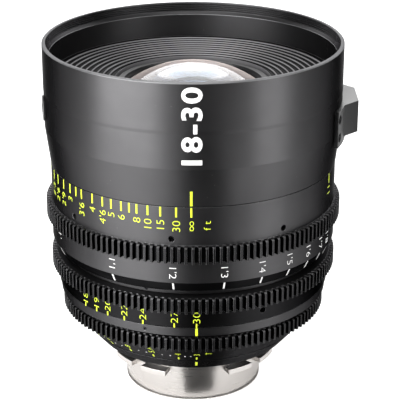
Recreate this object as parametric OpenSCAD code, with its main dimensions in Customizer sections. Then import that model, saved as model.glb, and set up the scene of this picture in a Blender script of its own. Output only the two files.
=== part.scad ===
// Cinema zoom lens with geared focus, zoom and iris rings. Lengths are in millimetres.
// The lens stands on its rear end: +Z runs to the front glass, and z = 0 is the end of the mount's barrel.
// Azimuths are in degrees about +Z from +X. The side with the scales faces -Y.

/* [Stack along the axis, from the rear] */
// Length of the mount's rear barrel, up to the seat
mount_barrel_len = 12.8; // [12:0.1:15]
// Thickness of the mount's lugs
mount_flange_t = 2; // [1.6:0.1:2.6]
// Thickness of the shim in front of the mount
shim_t = 0.3; // [0.1:0.05:0.6]
// Length of the rear housing's neck
neck_len = 4.9; // [4:0.1:6]
// Length of the rear housing's cone
housing_len = 5; // [4.5:0.1:6]
// Thickness of the rear housing's floor
housing_floor_t = 2.5; // [2:0.1:3.5]
// Length of the iris ring
iris_ring_len = 13.4; // [13:0.1:15]
// Open gap between the iris ring and the index ring
index_gap = 1.8; // [1:0.1:3]
// Length of the fixed index ring
index_ring_len = 3.3; // [2.6:0.1:4.5]
// Length of the zoom ring
zoom_ring_len = 12.4; // [12:0.1:14]
// Length of the fixed ring between the zoom and focus rings
centre_ring_len = 2.2; // [2:0.1:4]
// Length of the focus ring
focus_ring_len = 33.3; // [32:0.1:36]
// Length of the front barrel
front_barrel_len = 46.4; // [45:0.1:52]

/* [Fits] */
// Gap between a turning ring and its fixed neighbours
ring_gap = 0.3; // [0.2:0.05:0.5]
// Radial clearance of a ring that turns on the tube
run_fit = 0.05; // [0.02:0.01:0.08]
// Radial clearance of a part that slides inside the tube
slide_fit = 0.08; // [0.03:0.01:0.1]
// Radial clearance of a part that is seated and stays
seat_fit = 0.05; // [0.02:0.01:0.08]

/* [Mount] */
// Radius of the rear barrel
mount_r = 27; // [26.5:0.05:27.5]
// Wall of the rear barrel
mount_wall = 1.8; // [1.2:0.1:2]
// Thickness of the mount's inner flange
mount_web_t = 3; // [2.5:0.1:4]
// Width of the seat round the rear barrel
seat_w = 1.5; // [1:0.1:2]
// How far the lugs stand out from the seat
lug_h = 4.9; // [3.5:0.1:5.5]
// Angle that each lug covers
lug_angle = 46.5; // [40:0.5:50]
// Azimuth of the first lug's middle
lug_azimuth = -42; // [-45:1:-35]
// Width of the locating notch in each lug
lug_notch_w = 5; // [3:0.1:6]
// Depth of the locating notch
lug_notch_d = 3; // [2:0.1:3.5]
// Number of screws that hold the mount
mount_screw_count = 4; // [3:1:6]

/* [Rear housing and rear optics] */
// Wall of the housing round the tube's spigot
housing_wall = 2.3; // [2:0.1:3]
// Rise of the housing's cone, in radius
housing_cone_h = 4.3; // [3:0.1:5]
// Room between the rear barrel's wall and the rear cell, for the mount's screws
rear_screw_room = 4.9; // [4.5:0.1:5.2]
// Width of the rear cell's flange
rear_cell_flange_w = 7.7; // [6.5:0.1:8]
// Thickness of the rear cell's flange
rear_cell_flange_t = 1.5; // [1.2:0.1:2]
// Height of the rear cell's rear end above the end of the mount
rear_cell_z = 5; // [4.5:0.1:6]
// Wall of the rear cell round its inner element
rear_cell_wall = 2.3; // [2:0.1:3]
// How much smaller in radius the last rear element is than the inner one
rear_glass_step = 1; // [0.5:0.1:1.5]

/* [Main tube] */
// Gap between the rear cell's flange and the flange at the foot of the tube
rear_flange_gap = 3; // [2:0.1:4]
// Width of the flange at the foot of the tube's spigot
spigot_flange_w = 6; // [5.4:0.1:7]
// Wall of the narrow spigot under the iris ring
spigot_wall = 3; // [2.6:0.1:3.4]
// Step in radius from the spigot out to the tube
tube_step_w = 6.5; // [6:0.1:7]
// Wall of the tube that carries the rings
tube_wall = 2.5; // [2.2:0.1:2.8]
// Thickness of the step between the spigot and the tube
tube_step_t = 3; // [2.8:0.1:4]
// Length of the iris ring's bearing on the full tube
iris_land_len = 5.7; // [5.4:0.1:6]
// Thickness of the tube's front flange
tube_flange_t = 3; // [2.6:0.1:4]
// Number of screws in the tube's front flange
tube_screw_count = 6; // [4:1:8]

/* [Rings and gears] */
// Module of the three gears
gear_module = 0.8; // [0.78:0.01:0.82]
// How far the focus gear's teeth stand out from the ring behind them
focus_gear_h = 2.05; // [1.8:0.05:2.4]
// How far the zoom gear's teeth stand out from the number band
zoom_gear_h = 2.6; // [2.2:0.1:3]
// How far the iris gear's teeth stand out from the cone
iris_gear_h = 2.7; // [2.3:0.1:3.1]
// Width of the focus gear
focus_gear_w = 6.5; // [5:0.1:8]
// Width of the zoom gear
zoom_gear_w = 5.6; // [5:0.1:6]
// Width of the iris gear
iris_gear_w = 5.2; // [4.6:0.1:5.6]
// Length of the focus ring behind its gear
focus_rear_len = 12.1; // [11:0.1:13]
// How far the focus ring lies inside the front barrel's rear edge
focus_inset = 0.05; // [0:0.05:0.2]
// How much larger in radius the focus ring is behind its gear
focus_rear_rise = 0.2; // [0.1:0.05:0.4]
// Rise of the cone at the focus ring's rear edge, in radius
focus_cone_h = 1.95; // [1:0.05:2.4]
// Length of the cone at the focus ring's rear edge
focus_cone_len = 3.9; // [3:0.1:5]
// Depth of the relief between the focus ring's bearings
focus_relief_d = 4; // [3.5:0.1:4.4]
// Length of each of the focus ring's bearings
focus_land_len = 3; // [2.5:0.1:4]
// Thickness of the zoom ring at its number band
zoom_ring_t = 6.5; // [6:0.1:7]
// Step from the zoom ring's number band down to the band under its gear
zoom_hub_step = 0.2; // [0.1:0.05:0.4]
// Chamfer at the rear edge of the zoom ring
zoom_chamfer = 0.4; // [0.2:0.1:0.8]
// Thickness of the iris ring where its cone meets the gear
iris_ring_t = 2.4; // [2:0.1:3]
// Step from the iris ring's cone up to the band under its gear
iris_hub_rise = 0.4; // [0.2:0.1:0.6]
// Thickness of the index ring
index_ring_t = 5.8; // [5:0.1:6.2]
// Thickness of the fixed ring between the zoom and focus rings
centre_ring_t = 4; // [3.5:0.1:4.5]
// Radius of the tapped holes in the rings
lever_hole_r = 1.2; // [1:0.05:1.5]
// Depth of the tapped holes in the rings
lever_hole_d = 3; // [2.5:0.1:3.2]
// Number of tapped holes in the focus ring
focus_hole_count = 8; // [4:1:12]
// Number of tapped holes in the zoom ring
zoom_hole_count = 3; // [3:1:3]

/* [Travel] */
// Turn of the focus ring, from infinity to the near limit
focus_turn = 293.5; // [270:0.5:296]
// Advance of the front group over that turn
focus_travel = 7; // [6.6:0.1:7.4]
// Turn of the zoom ring, from the long end to the wide end
zoom_turn = 52; // [45:0.5:54]
// Retreat of the variator over that turn
variator_travel = 12; // [10:0.1:12]
// Advance of the compensator over that turn
compensator_travel = 5; // [3:0.1:5]
// Turn of the iris ring, from open to closed
iris_turn = 74; // [70:0.5:76]
// Turn of each iris blade over that turn
blade_turn = 32.3; // [30:0.1:34]

/* [Front barrel] */
// Room between the focus ring's screws and the front barrel's bore
focus_screw_room = 0.65; // [0.5:0.05:0.9]
// Wall of the front barrel at its rear end
barrel_rear_wall = 1.8; // [1.5:0.1:2.2]
// Length of the front barrel's taper
barrel_taper_len = 14.6; // [10:0.1:16]
// Rise of the taper, in radius
barrel_taper_h = 1.9; // [1.5:0.1:2.4]
// Length of the front land that clamp-on accessories grip
clamp_land_len = 17.2; // [16:0.1:18]
// How far the barrel is relieved behind that land
clamp_relief = 0.1; // [0.05:0.05:0.2]
// Length of the taper between that land and the relief
clamp_taper_len = 1.3; // [1.3:0.1:2]
// Wall of the front barrel round the front well
well_wall = 2.5; // [2.2:0.1:2.8]
// Width of the inner rib
rib_w = 4; // [3.8:0.1:4.4]
// Thickness of the inner rib
rib_t = 5; // [4:0.1:6]
// Chamfer at the front rim
rim_chamfer = 0.4; // [0.2:0.1:0.6]
// Wall of the front rim outside the filter thread's crests
rim_wall = 1.4; // [1.2:0.05:1.6]
// Depth of the filter thread
thread_d = 0.4; // [0.3:0.05:0.45]
// Pitch of the filter thread
thread_pitch = 0.75; // [0.7:0.05:0.8]
// Number of thread turns in the front rim
thread_turns = 5; // [3:1:6]

/* [Front group] */
// Radius of the front element
front_glass_r = 27.5; // [27:0.1:27.8]
// Radius of curvature of the front element's dome
front_dome_r = 43; // [41:0.5:48]
// Width of the flat seat round the front element's rear hollow
front_seat_w = 3.5; // [3:0.1:4]
// Height of the front element from its seat to the top of the dome
front_glass_h = 15; // [14:0.1:16]
// Thickness of the front element at its middle
front_glass_t = 3; // [2.5:0.1:4]
// Wall of the front cell beside the front element
front_cell_wall = 1.75; // [1.5:0.05:1.8]
// Length of the front cell from the carrier to the front element's seat
front_cell_len = 14.5; // [14:0.1:15]
// How much smaller in radius the second element is than the front one
second_glass_step = 3.5; // [3:0.1:4]
// How much smaller in radius the third element is than the second
third_glass_step = 2; // [1.5:0.1:3]
// How far the front retaining ring reaches over the front element
retainer_lip_w = 1.2; // [0.8:0.1:1.5]
// Height of the front retaining ring above the cell
retainer_h = 3.4; // [3:0.1:3.6]
// Radius of the three focus pins
focus_pin_r = 0.8; // [0.6:0.05:0.85]
// Length of the carrier's guide in the tube
carrier_len = 17; // [15:0.1:17.5]
// Thickness of the carrier's web
carrier_web_t = 3; // [2.5:0.1:3.2]
// Wall of the carrier
carrier_wall = 2.92; // [2.5:0.02:3.2]

/* [Baffle] */
// Width of the baffle's plain rim
baffle_rim_w = 2.45; // [1.5:0.05:3.5]
// Gap between the baffle and the front cell
baffle_gap = 0.5; // [0.4:0.05:1]
// Height of the baffle at its rim
baffle_h = 4.5; // [4:0.1:5]
// Fall of the baffle from its rim to its bore
baffle_fall = 1.5; // [0.5:0.1:2]
// Number of ribs on the baffle
baffle_ribs = 9; // [6:1:12]
// Height of each rib
baffle_rib_h = 0.9; // [0.4:0.1:1.2]

/* [Zoom mechanism] */
// Wall of the cam barrel
cam_wall = 2.44; // [2.3:0.02:2.6]
// Wall of the guide tube
guide_wall = 2.9; // [2.6:0.1:3]
// Radius of the rollers on the moving cells
roller_r = 1.5; // [1.2:0.05:1.6]
// Radius of the pins that turn the cam barrel
drive_pin_r = 1.5; // [1.2:0.05:1.6]
// Length of each moving cell
cell_len = 9; // [8:0.1:9.5]
// Radius of the glass in the moving cells
cell_glass_r = 24; // [22:0.1:25]

/* [Iris] */
// Number of iris blades: each is a part of its own
blade_count = 9; // [9:1:9]
// Width of a blade
blade_w = 7.7; // [7:0.1:8]
// Distance from the blades' outer edge to the circle of pivots
blade_root_len = 3; // [2.6:0.1:3.4]
// Thickness of a blade
blade_t = 0.2; // [0.12:0.02:0.24]
// Spacing of the blades along the axis
blade_pitch = 0.36; // [0.34:0.02:0.38]
// Distance from the circle of pivots to the outside of the iris cage
pivot_inset = 6.95; // [6.6:0.05:7.2]
// Angle of a blade's arc
blade_angle = 84; // [70:1:88]
// Radius of a blade's pivot pin
pivot_pin_r = 0.8; // [0.6:0.05:0.9]
// Radius of a blade's drive pin
blade_pin_r = 0.5; // [0.4:0.05:0.5]
// Distance from the pivot pin to the drive pin
blade_arm = 6; // [5.8:0.1:6.2]
// Angle of that arm from the radial direction, with the iris open
blade_arm_angle = 74; // [72:0.5:76]

/* [Support foot and side boss] */
// Distance from the barrel to the foot's outer face
foot_stand = 5.6; // [5:0.1:7]
// Width of the foot's outer face
foot_face_w = 16.6; // [15:0.1:18]
// Width of the foot where it meets the barrel
foot_root_w = 31.2; // [29:0.1:33]
// Height of the foot's block
foot_h = 12.3; // [11:0.1:14]
// Thickness of the foot's saddle plate
saddle_t = 1.5; // [1.2:0.1:2]
// Angle that the saddle covers
saddle_angle = 46; // [44:1:50]
// Height of the saddle plate
saddle_h = 14.1; // [13:0.1:16]
// Radius of the tapped hole in the foot
foot_hole_r = 2.55; // [2.5:0.01:2.6]
// Wall left under the tapped hole in the foot
foot_hole_floor = 0.4; // [0.3:0.1:1]
// Distance from the foot's top to the taper behind the front land
foot_drop = 2.9; // [2.6:0.1:4]
// Radius of the side boss
boss_r = 4.85; // [4:0.1:6]
// Height of the side boss above the barrel
boss_h = 0.6; // [0.5:0.1:1.5]
// Distance from the boss's top to the taper behind the front land
boss_drop = 0.4; // [0.3:0.1:1]

/* [Screws] */
// Radius of the thread of the larger screws
screw_r = 1; // [0.8:0.05:1.05]
// Radius of a screw's cap head
screw_head_r = 1.5; // [1.3:0.05:1.6]
// Height of a screw's cap head
screw_head_t = 1.2; // [1:0.1:1.3]
// Radius of a countersunk head
flat_head_r = 1.8; // [1.7:0.05:1.9]
// Height of a countersunk head
flat_head_t = 0.9; // [0.7:0.1:1]
// Radius of the set screws
grub_r = 0.7; // [0.5:0.05:0.8]
// Length of the set screws
grub_len = 3; // [2:0.1:3.4]

/* [Hidden] */

$fn = 144;
// Facets of small round details
small_fn = 32;
// Facets of the lens surfaces
glass_fn = 300;
// Sides of a screw's hexagon socket
hex_sides = 6;
// How far a cut runs past the solid that it cuts
overrun = 1;

// Finish colours of the construction view
satin_black = "#202022";
deep_black = "#121213";
dark_metal = "#3a3a3d";
bright_metal = "#b9b4ac";
brass_metal = "#b39a5a";
lens_glass = "#9fb4c8";

// Heights of the outer pieces, each stacked on the last
z_seat = mount_barrel_len;
z_mount = z_seat + mount_flange_t;
z_neck = z_mount + shim_t;
z_housing = z_neck + neck_len;
z_floor = z_housing + housing_floor_t;
z_housing_top = z_housing + housing_len;
z_iris = z_housing_top + ring_gap;
z_iris_top = z_iris + iris_ring_len;
z_index = z_iris_top + index_gap;
z_index_top = z_index + index_ring_len;
z_zoom = z_index_top + ring_gap;
z_zoom_top = z_zoom + zoom_ring_len;
z_centre = z_zoom_top + ring_gap;
z_centre_top = z_centre + centre_ring_len;
z_focus = z_centre_top + ring_gap;
z_focus_top = z_focus + focus_ring_len;
z_barrel = z_focus_top + ring_gap;
z_front = z_barrel + front_barrel_len;

// Heights of the tube and of what it carries
z_step = z_iris_top - iris_land_len;
z_deck = z_step + tube_step_t;
focus_pin_rise = 8.4;
z_focus_pin = z_focus_top + focus_pin_rise;
sleeve_margin = 4.7;
z_sleeve_top = z_focus_pin + focus_travel + sleeve_margin;
z_rib = z_sleeve_top + ring_gap;
z_flange = z_rib + rib_t;
z_baffle = z_flange + tube_flange_t;

// Radii from the mount outwards: the neck and lugs, the rear cell, the spigot and the tube
neck_r = mount_r + seat_w;
lug_r = neck_r + lug_h;
rear_cell_r = mount_r - mount_wall - rear_screw_room;
rear_cell_flange_r = rear_cell_r + rear_cell_flange_w;
rear_inner_glass_r = rear_cell_r - rear_cell_wall;
rear_outer_glass_r = rear_inner_glass_r - rear_glass_step;
spigot_flange_r = rear_cell_flange_r + rear_flange_gap;
spigot_bore_r = spigot_flange_r + spigot_flange_w;
spigot_r = spigot_bore_r + spigot_wall;
tube_r = spigot_r + tube_step_w;
housing_front_r = spigot_r + housing_wall;
housing_rear_r = housing_front_r - housing_cone_h;

// Radii of the focus sleeve, its screws and the front barrel outside them
sleeve_wall = 2.9;
sleeve_bore_r = tube_r + run_fit;
sleeve_r = sleeve_bore_r + sleeve_wall;
focus_screw_circle_r = sleeve_r + screw_head_r + seat_fit;
barrel_bore_r = focus_screw_circle_r + screw_head_r + seat_fit + focus_screw_room;
barrel_rear_r = barrel_bore_r + barrel_rear_wall;
barrel_body_r = barrel_rear_r + barrel_taper_h;
barrel_r = barrel_body_r + clamp_relief;
thread_r = barrel_r - rim_wall;
well_r = barrel_r - well_wall;
rib_bore_r = well_r - rib_w;

// Radii of the rings on the tube
focus_front_r = barrel_rear_r - focus_inset;
focus_rear_r = focus_front_r + focus_rear_rise;
focus_edge_r = focus_rear_r - focus_cone_h;
focus_bore_r = tube_r + focus_relief_d;
zoom_band_r = tube_r + zoom_ring_t;
zoom_hub_r = zoom_band_r - zoom_hub_step;
iris_rear_r = housing_front_r;
iris_cone_r = tube_r + iris_ring_t;
iris_hub_r = iris_cone_r + iris_hub_rise;
index_r = tube_r + index_ring_t;
centre_r = tube_r + centre_ring_t;

// Radii of the cam barrel, the guide tube and the moving cells, each inside the last
tube_bore_r = tube_r - tube_wall;
cam_r = tube_bore_r - slide_fit;
cam_bore_r = cam_r - cam_wall;
guide_r = cam_bore_r - slide_fit;
guide_bore_r = guide_r - guide_wall;
cell_r = guide_bore_r - slide_fit;

// Gears: the number of teeth that fits a tip radius, and the radii of that gear
function tooth_count(tip_r) = round(2 * tip_r / gear_module) - 2;
function gear_tip_r(teeth) = gear_module * (teeth + 2) / 2;
function gear_root_r(teeth) = gear_module * (teeth - 2.5) / 2;
focus_teeth = tooth_count(focus_rear_r + focus_gear_h);
zoom_teeth = tooth_count(zoom_band_r + zoom_gear_h);
iris_teeth = tooth_count(iris_cone_r + iris_gear_h);
tooth_tip_share = 0.33;
tooth_root_share = 0.62;
gear_sink = 0.5;

// How far screws reach into the piece that they hold to, as a share of its thickness
screw_reach_share = 0.8;
wall_reach_share = 0.5;

// Fall of a curved lens face between two radii
function face_drop(curve_r, r_in, r_out) =
    sqrt(curve_r * curve_r - r_in * r_in) - sqrt(curve_r * curve_r - r_out * r_out);

// Azimuth of the scale side, and of the pieces at the back
scale_azimuth = -90;
back_azimuth = 90;

// A solid turned about the lens axis from its half section
module turned(points) {
    rotate_extrude() polygon(points);
}

// A plain ring about the lens axis
module collar(r_in, r_out, z_lo, z_hi) {
    rotate_extrude() translate([r_in, z_lo]) square([r_out - r_in, z_hi - z_lo]);
}

// Part of a ring about the lens axis, from one azimuth to another
module arc_block(r_in, r_out, z_lo, z_hi, from_a, to_a) {
    rotate([0, 0, from_a])
        rotate_extrude(angle = to_a - from_a) translate([r_in, z_lo]) square([r_out - r_in, z_hi - z_lo]);
}

// Copies of a piece, evenly spread about the lens axis
module around(count, first = 0) {
    for (i = [0:count - 1]) rotate([0, 0, first + 360 * i / count]) children();
}

// A round pin or hole that points away from the lens axis along +X
module radial_rod(r, from_r, to_r, z) {
    translate([from_r, 0, z]) rotate([0, 90, 0]) cylinder(r = r, h = to_r - from_r, $fn = small_fn);
}

// A slot along the axis with round ends, cut through a wall on the +X side
module axial_slot(r, from_r, to_r, z_lo, z_hi) {
    radial_rod(r, from_r, to_r, z_lo);
    radial_rod(r, from_r, to_r, z_hi);
    translate([from_r, -r, z_lo]) cube([to_r - from_r, 2 * r, z_hi - z_lo]);
}

// Corners of a slot that winds about the axis, four at each step
function helix_points(r_in, r_out, half_h, z_lo, rise, first_a, turn, steps) = [
    for (i = [0:steps])
        let (a = first_a + turn * i / steps, z = z_lo + rise * i / steps)
            for (corner = [[r_in, -half_h], [r_out, -half_h], [r_out, half_h], [r_in, half_h]])
                [corner[0] * cos(a), corner[0] * sin(a), z + corner[1]]
];

// Triangles of that slot: its two ends, then its four sides
function helix_faces(steps) = concat(
    [[0, 2, 1], [0, 3, 2]],
    [[4 * steps, 4 * steps + 1, 4 * steps + 2], [4 * steps, 4 * steps + 2, 4 * steps + 3]],
    [for (i = [0:steps - 1], j = [0:3])
        [4 * i + j, 4 * i + (j + 1) % 4, 4 * i + 4 + (j + 1) % 4]],
    [for (i = [0:steps - 1], j = [0:3])
        [4 * i + j, 4 * i + 4 + (j + 1) % 4, 4 * i + 4 + j]]
);

// The slot in a turning sleeve that moves a pin along the axis, from the pin's place at rest at azimuth 0
module cam_slot(pin_r, r_in, r_out, z_pin, turn, travel, steps) {
    end_turn = (pin_r + ring_gap) / r_in * 180 / PI;
    slope = travel / turn;
    half_h = (pin_r + seat_fit) / cos(atan(slope * 180 / PI / r_in));
    whole_turn = turn + 2 * end_turn;
    polyhedron(
        points = helix_points(r_in, r_out, half_h, z_pin + (turn + end_turn) * slope,
            -whole_turn * slope, -turn - end_turn, whole_turn, steps),
        faces = helix_faces(steps));
}

// A cap screw that points down, with the underside of its head at z = 0
module cap_screw(length) {
    difference() {
        union() {
            translate([0, 0, -length]) cylinder(r = screw_r, h = length + screw_head_t / 2, $fn = small_fn);
            cylinder(r = screw_head_r, h = screw_head_t, $fn = small_fn);
        }
        translate([0, 0, screw_head_t / 3])
            cylinder(r = screw_head_r / 2, h = screw_head_t, $fn = hex_sides);
    }
}

// The hole of a screw's shank, from z = 0 down, cut a little above z = 0 too
module shank_hole(length) {
    translate([0, 0, -length]) cylinder(r = screw_r + seat_fit, h = length + overrun, $fn = small_fn);
}

// The hole of a cap screw: its shank, and room for the head above z = 0
module cap_screw_hole(length, head_room) {
    shank_hole(length);
    cylinder(r = screw_head_r + seat_fit, h = head_room, $fn = small_fn);
}

// A countersunk screw that points down, with the top of its head at z = 0
module flat_screw(length) {
    difference() {
        union() {
            translate([0, 0, -length]) cylinder(r = screw_r, h = length - flat_head_t / 2, $fn = small_fn);
            translate([0, 0, -flat_head_t])
                cylinder(r1 = screw_r, r2 = flat_head_r, h = flat_head_t, $fn = small_fn);
        }
        translate([0, 0, -flat_head_t / 2]) cylinder(r = screw_r / 2, h = flat_head_t, $fn = hex_sides);
    }
}

// The hole of a countersunk screw, open above z = 0
module flat_screw_hole(length) {
    translate([0, 0, -length]) cylinder(r = screw_r + seat_fit, h = length, $fn = small_fn);
    translate([0, 0, -flat_head_t - seat_fit])
        cylinder(r1 = screw_r + seat_fit, r2 = flat_head_r + seat_fit, h = flat_head_t + seat_fit,
            $fn = small_fn);
    cylinder(r = flat_head_r + seat_fit, h = overrun, $fn = small_fn);
}

// A set screw along +X, flush with the face that it is screwed into
module grub_screw(face_r, z) {
    difference() {
        radial_rod(grub_r, face_r - grub_len, face_r, z);
        translate([face_r - grub_r, 0, z]) rotate([0, 90, 0])
            cylinder(r = grub_r / 2, h = grub_len, $fn = hex_sides);
    }
}

// Outline of a gear ring: each tooth has a flat tip and straight flanks
function gear_outline(teeth) = [
    for (i = [0:teeth - 1], corner = [
        [-tooth_root_share / 2, gear_root_r(teeth)], [-tooth_tip_share / 2, gear_tip_r(teeth)],
        [tooth_tip_share / 2, gear_tip_r(teeth)], [tooth_root_share / 2, gear_root_r(teeth)]
    ])
        let (a = scale_azimuth + 360 * (i + corner[0]) / teeth) [corner[1] * cos(a), corner[1] * sin(a)]
];

// The toothed band of a ring, sunk into the ring's own radius
module gear_band(teeth, ring_r, z_lo, width) {
    translate([0, 0, z_lo]) linear_extrude(width) difference() {
        polygon(gear_outline(teeth));
        circle(r = ring_r - gear_sink);
    }
}

// A lens with a domed front and a hollow rear, seated on the flat edge round the hollow
module meniscus(r, z_lo, height, thickness, dome_r, hollow_r) {
    difference() {
        intersection() {
            translate([0, 0, z_lo]) cylinder(r = r, h = height);
            translate([0, 0, z_lo + height - dome_r]) sphere(r = dome_r, $fn = glass_fn);
        }
        translate([0, 0, z_lo + height - thickness - hollow_r]) sphere(r = hollow_r, $fn = glass_fn);
    }
}

// A lens that is hollow on both sides, with a flat edge round each
module biconcave(r, z_lo, height, curve_r, edge_w) {
    sag = curve_r - sqrt(curve_r * curve_r - (r - edge_w) * (r - edge_w));
    difference() {
        translate([0, 0, z_lo]) cylinder(r = r, h = height);
        translate([0, 0, z_lo + height - sag + curve_r]) sphere(r = curve_r, $fn = glass_fn);
        translate([0, 0, z_lo + sag - curve_r]) sphere(r = curve_r, $fn = glass_fn);
    }
}

// A lens that is domed on both sides: its edge runs from z_lo over edge_t
module biconvex(r, z_lo, edge_t, curve_r) {
    sag = curve_r - sqrt(curve_r * curve_r - r * r);
    intersection() {
        translate([0, 0, z_lo - sag]) cylinder(r = r, h = edge_t + 2 * sag);
        translate([0, 0, z_lo + edge_t + sag - curve_r]) sphere(r = curve_r, $fn = glass_fn);
        translate([0, 0, z_lo - sag + curve_r]) sphere(r = curve_r, $fn = glass_fn);
    }
}

// Front barrel: outer shell with the filter thread, the front well and the rib that the tube hangs on
z_taper = z_barrel + barrel_taper_len;
z_land = z_front - rim_chamfer - clamp_land_len;
z_relief = z_land - clamp_taper_len;
thread_land = thread_pitch / 4;
z_thread_end = z_front - thread_pitch * thread_turns;
z_well_top = z_thread_end - (thread_r - well_r);
tube_flange_r = well_r - seat_fit;
tube_screw_circle_r = rib_bore_r + screw_head_r + ring_gap;
tube_screw_len = tube_flange_t + rib_t / 2;
thread_points = [
    for (i = [0:thread_turns - 1])
        let (z = z_front - i * thread_pitch)
            for (point = [
                [thread_r + thread_d, z - (thread_pitch - thread_land) / 2],
                [thread_r, z - (thread_pitch - thread_land)], [thread_r, z - thread_pitch]
            ])
                point
];

// Foot and side boss: places of the pieces screwed to the front barrel
foot_azimuth = 0;
foot_face_x = barrel_body_r + foot_stand;
z_foot_top = z_relief - foot_drop;
foot_screw_azimuth = saddle_angle / 2 - asin((flat_head_r + ring_gap) / barrel_body_r);
z_saddle = z_foot_top - saddle_h;
foot_screw_heights = [z_saddle + saddle_h / 4, z_saddle + saddle_h * 3 / 4];
foot_screw_len = saddle_t + (barrel_body_r - well_r) * wall_reach_share;
flat_sink = 0.15;
boss_azimuth = 190;
z_boss = z_relief - boss_drop - boss_r;
boss_screw_len = boss_h + (barrel_body_r - well_r) * wall_reach_share;

module at_foot_screws() {
    for (side = [-1, 1], z = foot_screw_heights)
        rotate([0, 0, foot_azimuth + side * foot_screw_azimuth])
            translate([barrel_body_r + saddle_t - flat_sink, 0, z]) rotate([0, 90, 0]) children();
}

module at_boss_screw() {
    rotate([0, 0, boss_azimuth])
        translate([barrel_body_r + boss_h - flat_sink, 0, z_boss]) rotate([0, 90, 0]) children();
}

module at_tube_screws() {
    z_head = z_baffle - screw_head_t - ring_gap;
    around(tube_screw_count) translate([tube_screw_circle_r, 0, z_head]) children();
}

module front_barrel() {
    color(satin_black) difference() {
        turned(concat(
            [[barrel_bore_r, z_barrel], [barrel_rear_r, z_barrel], [barrel_body_r, z_taper],
                [barrel_body_r, z_relief], [barrel_r, z_land], [barrel_r, z_front - rim_chamfer],
                [barrel_r - rim_chamfer, z_front], [thread_r, z_front]],
            thread_points,
            [[well_r, z_well_top], [well_r, z_flange], [rib_bore_r, z_flange], [rib_bore_r, z_rib],
                [barrel_bore_r, z_rib]]));
        at_tube_screws() shank_hole(tube_screw_len);
        at_foot_screws() flat_screw_hole(foot_screw_len);
        at_boss_screw() flat_screw_hole(boss_screw_len);
    }
}

// Ribbed baffle round the front element
front_cell_r = front_glass_r + front_cell_wall + seat_fit;
baffle_bore_r = front_cell_r + baffle_gap;
baffle_rib_r = tube_flange_r - baffle_rim_w;
baffle_pitch = (baffle_rib_r - baffle_bore_r) / baffle_ribs;
rib_crest_share = 0.25;
function baffle_z(r) = z_baffle + baffle_h
    - baffle_fall * (baffle_rib_r - r) / (baffle_rib_r - baffle_bore_r);

module ribbed_baffle() {
    color(deep_black) turned(concat(
        [[baffle_bore_r, z_baffle], [tube_flange_r, z_baffle], [tube_flange_r, z_baffle + baffle_h]],
        [for (i = [0:baffle_ribs - 1])
            let (r = baffle_rib_r - i * baffle_pitch)
                for (point = [
                    [r, baffle_z(r)], [r - baffle_pitch * rib_crest_share, baffle_z(r) - baffle_rib_h],
                    [r - baffle_pitch * (1 - rib_crest_share), baffle_z(r) - baffle_rib_h]
                ])
                    point],
        [[baffle_bore_r, baffle_z(baffle_bore_r)]]));
}

// Main tube: the rings turn on it, and the zoom and focus parts slide inside it
z_spigot_flange = z_floor + rear_cell_flange_t;
housing_screw_count = 6;
housing_screw_circle_r = (spigot_flange_r + spigot_bore_r) / 2;
housing_screw_len = rear_cell_flange_t + housing_floor_t * screw_reach_share;
guide_base_t = 2;
guide_screw_count = 6;
guide_screw_azimuth = 30;
guide_screw_circle_r = (guide_r + cam_r) / 2 - seat_fit;
guide_screw_len = guide_base_t + tube_step_t * screw_reach_share;
drive_pin_count = 3;
drive_pin_azimuth = 90;
drive_pin_rise = 5.9;
z_drive_pin = z_zoom + drive_pin_rise;
drive_slot_end = asin((drive_pin_r + ring_gap) / tube_bore_r);
focus_stop_r = 2.5;
focus_stop_azimuth = 100;
focus_lug_drop = 15.6;
focus_lug_len = 4;
z_focus_lug = z_focus_top - focus_lug_drop;
stop_screw_r = 1.4;
focus_pin_count = 3;
roller_count = 3;

module at_housing_screws() {
    around(housing_screw_count) translate([housing_screw_circle_r, 0, z_spigot_flange]) children();
}

module at_guide_screws() {
    around(guide_screw_count, guide_screw_azimuth)
        translate([guide_screw_circle_r, 0, z_deck + guide_base_t]) children();
}

module main_tube() {
    color(dark_metal) difference() {
        turned([
            [spigot_flange_r, z_floor], [spigot_r, z_floor], [spigot_r, z_step], [tube_r, z_step],
            [tube_r, z_flange], [tube_flange_r, z_flange], [tube_flange_r, z_baffle],
            [tube_bore_r, z_baffle], [tube_bore_r, z_deck], [spigot_bore_r, z_deck],
            [spigot_bore_r, z_spigot_flange], [spigot_flange_r, z_spigot_flange]
        ]);
        around(focus_pin_count) axial_slot(focus_pin_r + run_fit, tube_bore_r - overrun, tube_r + overrun,
            z_focus_pin - ring_gap, z_focus_pin + focus_travel + ring_gap);
        around(drive_pin_count, drive_pin_azimuth)
            arc_block(tube_bore_r - overrun, tube_r + overrun, z_drive_pin - drive_pin_r - ring_gap,
                z_drive_pin + drive_pin_r + ring_gap, -drive_slot_end, zoom_turn + drive_slot_end);
        arc_block(spigot_bore_r - overrun, spigot_r + overrun, z_actuator - ring_gap,
            z_actuator + actuator_t + ring_gap, back_azimuth - iris_slot_end,
            back_azimuth + iris_turn + iris_slot_end);
        at_tube_screws() cap_screw_hole(tube_screw_len, tube_flange_t);
        at_housing_screws() flat_screw_hole(housing_screw_len);
        at_guide_screws() flat_screw_hole(guide_screw_len);
        rotate([0, 0, focus_stop_azimuth]) radial_rod(stop_screw_r + seat_fit,
            tube_bore_r - overrun, tube_r + overrun, z_focus_lug + focus_lug_len / 2);
    }
}

module tube_screws() {
    color(bright_metal) at_tube_screws() cap_screw(tube_screw_len - ring_gap);
}

// Fixed rings between the turning ones, each held by three set screws
grub_count = 3;
grub_azimuth = 10;

module fixed_ring(r, z_lo, z_hi) {
    color(satin_black) difference() {
        collar(tube_r + seat_fit, r, z_lo, z_hi);
        around(grub_count, grub_azimuth)
            radial_rod(grub_r + seat_fit, tube_r - overrun, r + overrun, (z_lo + z_hi) / 2);
    }
}

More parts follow.
